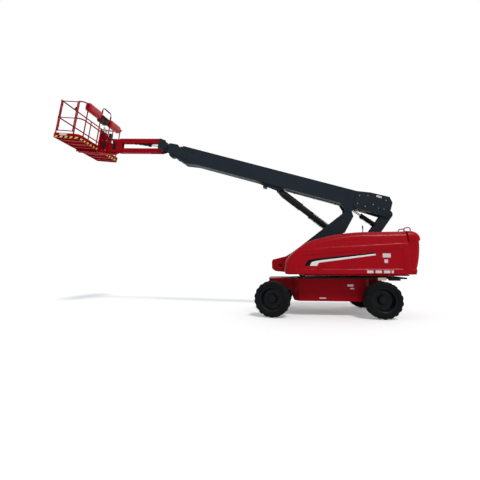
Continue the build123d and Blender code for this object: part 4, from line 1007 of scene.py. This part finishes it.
# Gate: springs on its hinge post, and a latch with a grip
GATE_X = RAIL_OUT - 0.045
LATCH_Y, LATCH_Z = RAIL_END + 0.036, 0.8775
COIL, COIL_PITCH = ((0.0165, 0), (0.0215, 0.0012), (0.0215, 0.0038), (0.0165, 0.005)), 0.007
bm = bmesh.new()
for z in (0.36, 1.01):
    for k in range(7):
        lathe(bm, COIL, DECK @ Matrix.Translation((GATE_X, RAIL_END, z - 0.0455 - k * COIL_PITCH)), 24)
piece("gate_springs", bm, "zinc", "gate")
bm = bmesh.new()
box(bm, (GATE_X - 0.515, RAIL_END + 0.0165, 0.83), (GATE_X - 0.455, RAIL_END + 0.024, 0.93), DECK, 0.006)
box(bm, (GATE_X - 0.545, RAIL_END + 0.024, 0.865), (GATE_X - 0.45, LATCH_Y, 0.89), DECK, 0.005)
tube(bm, on_deck(GATE_X - 0.465, LATCH_Y, LATCH_Z), on_deck(GATE_X - 0.465, RAIL_END + 0.062, LATCH_Z), 0.011)
piece("gate_latch", bm, "red_paint", "gate", bevel=0.001)

# Belly under the turntable's tray: plate, valve block and boxes, all above the tyres and the frame's deck
TRAY, BELLY = 1.002, 0.964
PIPE_Z, PIPE_XS = 0.984, (-0.385, -0.35, -0.315)
rows = [((-1.93, -1.1, BELLY), (-0.53, 1.1, TRAY), 0.03)]
rows += [((-0.531, side * 0.83 - 0.27, BELLY), (0.58, side * 0.83 + 0.27, TRAY), 0.01) for side in (-1, 1)]
boxes("belly_plate", rows, WORLD, "black_paint", "turntable", bevel=0.004)
for side, tag in SIDES:
    y = side * 1.1
    boxes(f"belly_box_{tag}", (((-1.42, y - 0.035, 0.93), (-1.22, y + 0.035, TRAY), 0.008),),
          WORLD, "cream", "turntable", bevel=0.004)
    y = side * 1.05
    boxes(f"belly_case_{tag}", (((-1.76, y - 0.07, 0.925), (-1.5, y + 0.07, TRAY), 0.015),),
          WORLD, "console_black", "turntable", bevel=0.006, segments=3)
    bm = bmesh.new()
    y = side * 0.68
    box(bm, (-0.41, y - 0.04, 0.965), (-0.29, y + 0.04, TRAY), WORLD, 0.006)
    for x in PIPE_XS:
        tube(bm, (x, side * 0.7, PIPE_Z), (x, side * 0.76, PIPE_Z), 0.011)
    piece(f"belly_valve_{tag}", bm, "zinc", "turntable", bevel=0.002)
    for number, (x, y) in enumerate(zip(PIPE_XS, (0.75, 0.77, 0.79))):
        line = ((x, 0.755, PIPE_Z), (x, y + 0.03, PIPE_Z), (x - 0.08, y + 0.05, 0.985),
                (-1.1, y + 0.06, 0.985), (-1.24, y + 0.06, 0.985))
        pipe(f"belly_pipe_{tag}_{number}", [(x, side * y, z) for x, y, z in line], 0.01, "hose", "turntable")
# Light grey tread strips at both ends of the chassis deck; their lightness is partly painted highlight,
# standing in for the sheen along the front deck
rows = [((end * 1.02 - 0.46, side * 0.4 - 0.13, 0.955), (end * 1.02 + 0.46, side * 0.4 + 0.13, 0.9572), 0.03)
        for end in (-1, 1) for side in (-1, 1)]
boxes("tread_and_highlight_strips", rows, WORLD, "tread_and_highlight_grey", "chassis")

# Cylinders


def shaft_frame(a, b):
    """Matrix at the first pivot with z to the second one and x across the machine."""
    start, stop = Vector((a[0], 0, a[1])), Vector((b[0], 0, b[1]))
    return frame_at(start, stop - start, (0, 1, 0))


LIFT = shaft_frame((1.18, 3.511), (-0.35, 2.262))
LEVEL = shaft_frame((-0.926, 2.883), (-1.62, 2.38))
JIB_REACH, JIB_RISE = 1.18, radians(2.6)
JIB_EYE = (4.88 + JIB_REACH * cos(JIB_RISE), 5.2 + JIB_REACH * sin(JIB_RISE))
JIB_CYLINDER = shaft_frame((4.96, 5.04), JIB_EYE)


def rings(name, matrix, inner, rows, mat, body, segments=56):
    """Rings round a shaft, as rows of outer radius, start and end."""
    bm = bmesh.new()
    for outer, start, stop in rows:
        soft = min(0.003, (outer - inner) / 2, (stop - start) / 3)
        lathe(bm, ((inner, start), (outer - soft, start), (outer, start + soft), (outer, stop - soft),
                   (outer - soft, stop), (inner, stop)), matrix, segments)
    piece(name, bm, mat, body)


rings("lift_sleeve_rings", LIFT, 0.1078, ((0.114, 0.222, 0.25), (0.114, 0.56, 0.58), (0.115, 0.8, 0.829)),
      "black_paint", "lift_rod")
turned("lift_rod_taper", ((0.055, 0.056), (0.078, 0.056), (0.08, 0.06), (0.09, 0.1), (0.1, 0.15),
                          (0.105, 0.2), (0.1075, 0.221), (0.055, 0.221)), LIFT, 56, "dark_paint", "lift_rod")
boxes("bracket_foot", (((2.425, -0.128, 0.036), (2.545, 0.128, 0.1555), 0.012),), BOOM, "dark_paint",
      "boom_outer", bevel=0.004)
rings("lift_barrel_rings", LIFT, 0.0948, ((0.101, 1.16, 1.178), (0.101, 1.5, 1.518), (0.103, 1.79, 1.83)),
      "black_paint", "lift_barrel")
rings("level_rings", LEVEL, 0.0618, ((0.0665, 0.27, 0.3), (0.0655, 0.7, 0.722)), "black_paint",
      "level_barrel", 40)
rings("level_gland", LEVEL, 0.0302, ((0.05, 0.264, 0.2672),), "zinc", "level_barrel", 40)
rings("jib_cylinder_rings", JIB_CYLINDER, 0.0358, ((0.0405, 0.242, 0.268), (0.04, 0.8, 0.815)), "black_paint",
      "jib_barrel", 32)


def cylinder_pipes(name, matrix, radius, start, stop, angle, thick, body, clamps):
    """Hard pipe along a barrel with a block at each end and clamps between them."""
    matrix = matrix @ spin(angle, "Z")
    away = radius + thick + 0.004
    line = ((radius * 0.9, start), (away, start), (away, start + 0.05), (away, (start + stop) / 2),
            (away, stop - 0.05), (away, stop), (radius * 0.9, stop))
    pipe(name, [at(matrix, out, 0, z) for out, z in line], thick, "zinc", body)
    rows = [((radius * 0.93, -0.024, z - 0.028), (away + thick + 0.003, 0.024, z + 0.028), 0.004)
            for z in (start, stop)]
    for k in range(clamps):
        z = start + (stop - start) * (k + 1) / (clamps + 1)
        rows.append(((radius * 0.95, -0.014, z - 0.01), (away + thick + 0.002, 0.014, z + 0.01), 0.003))
    boxes(f"{name}_blocks", rows, matrix, "black_paint", body, bevel=0.002)


cylinder_pipes("lift_pipe", LIFT, 0.095, 1.2, 1.77, 90, 0.01, "lift_barrel", 2)
cylinder_pipes("lift_pipe_low", LIFT, 0.095, 1.2, 1.77, -35, 0.008, "lift_barrel", 2)
cylinder_pipes("level_pipe", LEVEL, 0.062, 0.33, 0.68, 90, 0.007, "level_barrel", 1)
cylinder_pipes("jib_pipe", JIB_CYLINDER, 0.036, 0.3, 0.78, -90, 0.005, "jib_barrel", 2)

# Boom

# Bolted pads at its mouth, and a doubler with a soft outline over the tail plate
PAD_US, PAD_WS, PAD = (4.94, 5.13), (0.26, 0.5), 0.008
for side, tag in SIDES:
    out = (0, side, 0)
    bm = bmesh.new()
    for u in PAD_US:
        for w in PAD_WS:
            matrix = frame_at(on_boom(u, side * MOUTH_SIDE, w), out, BOOM_ALONG)
            prism(bm, rounded(-0.06, -0.038, 0.06, 0.038, PAD, 3), 0, PAD, matrix)
    piece(f"pad_plates_{tag}", bm, "dark_paint", "boom_outer", bevel=0.0015)
    places = [on_boom(u + du, side * 0.188, w) for u in PAD_US for w in PAD_WS for du in (-0.038, 0.038)]
    bolt_row(f"pad_bolts_{tag}", places, out, 0.01, 0.008, "dark_paint", "boom_outer")
    bm = bmesh.new()
    outline = [(x, -side * y) for x, y in rounded(-0.2, -0.075, 0.17, 0.2, 0.05)]
    prism(bm, outline, 0, 0.006, frame_at(on_boom(-0.86, side * TAIL_SIDE, 0.34), out, BOOM_ALONG))
    piece(f"tail_doubler_{tag}", bm, "dark_paint", "boom_outer", bevel=0.002)
# Collar round the mouth
bm = bmesh.new()
inner, outer = [[bm.verts.new(on_boom(u, y, w)) for u in (5.215, 5.245) for w, y in outline]
                for outline in (rounded(0.1535, -0.1815, 0.6215, 0.1815, 0.012, 3),
                                rounded(0.151, -0.187, 0.627, 0.187, 0.016, 3))]
n = len(inner) // 2
for k in range(n):
    m = (k + 1) % n
    bm.faces.new((outer[k], outer[m], outer[n + m], outer[n + k]))
    bm.faces.new((inner[k], inner[m], inner[n + m], inner[n + k]))
    bm.faces.new((outer[k], outer[m], inner[m], inner[k]))
    bm.faces.new((outer[n + k], outer[n + m], inner[n + m], inner[n + k]))
piece("mouth_collar", bm, "dark_paint", "boom_outer", bevel=0.0015)

# Pipes clamped under the boom from its tail to the lift cylinder's bracket
for number, y in enumerate((-0.15, -0.128, -0.106)):
    line = ((-0.55, 0.144), (-0.4, 0.142), (0.6, 0.142), (1.5, 0.142), (1.86, 0.142))
    pipe(f"boom_pipe_{number}", [on_boom(u, y, w) for u, w in line], 0.009, "zinc", "boom_outer")
boxes("boom_clamps", [((u - 0.015, -0.168, 0.128), (u + 0.015, -0.088, 0.1545), 0)
                      for u in (-0.35, 0.35, 1.0, 1.6)], BOOM, "black_paint", "boom_outer", bevel=0.002)

# Caps of the drive housing at the head, with their bolts
DRIVE_U, DRIVE_SIDE, DRIVE_W = 5.57, 0.0855, 0.33
bm = bmesh.new()
for side in (-1, 1):
    matrix = frame_at(on_boom(DRIVE_U, side * DRIVE_SIDE, DRIVE_W), (0, side, 0))
    lathe(bm, ((0, 0), (0.126, 0), (0.126, 0.004), (0.12, 0.007), (0.085, 0.007), (0.08, 0.014),
               (0, 0.014)), matrix, 48)
    bolt_circle(bm, matrix, 12, 0, 0.104, 0.007, 0.008, 0.007)
piece("drive_caps", bm, "dark_paint", "boom_inner")
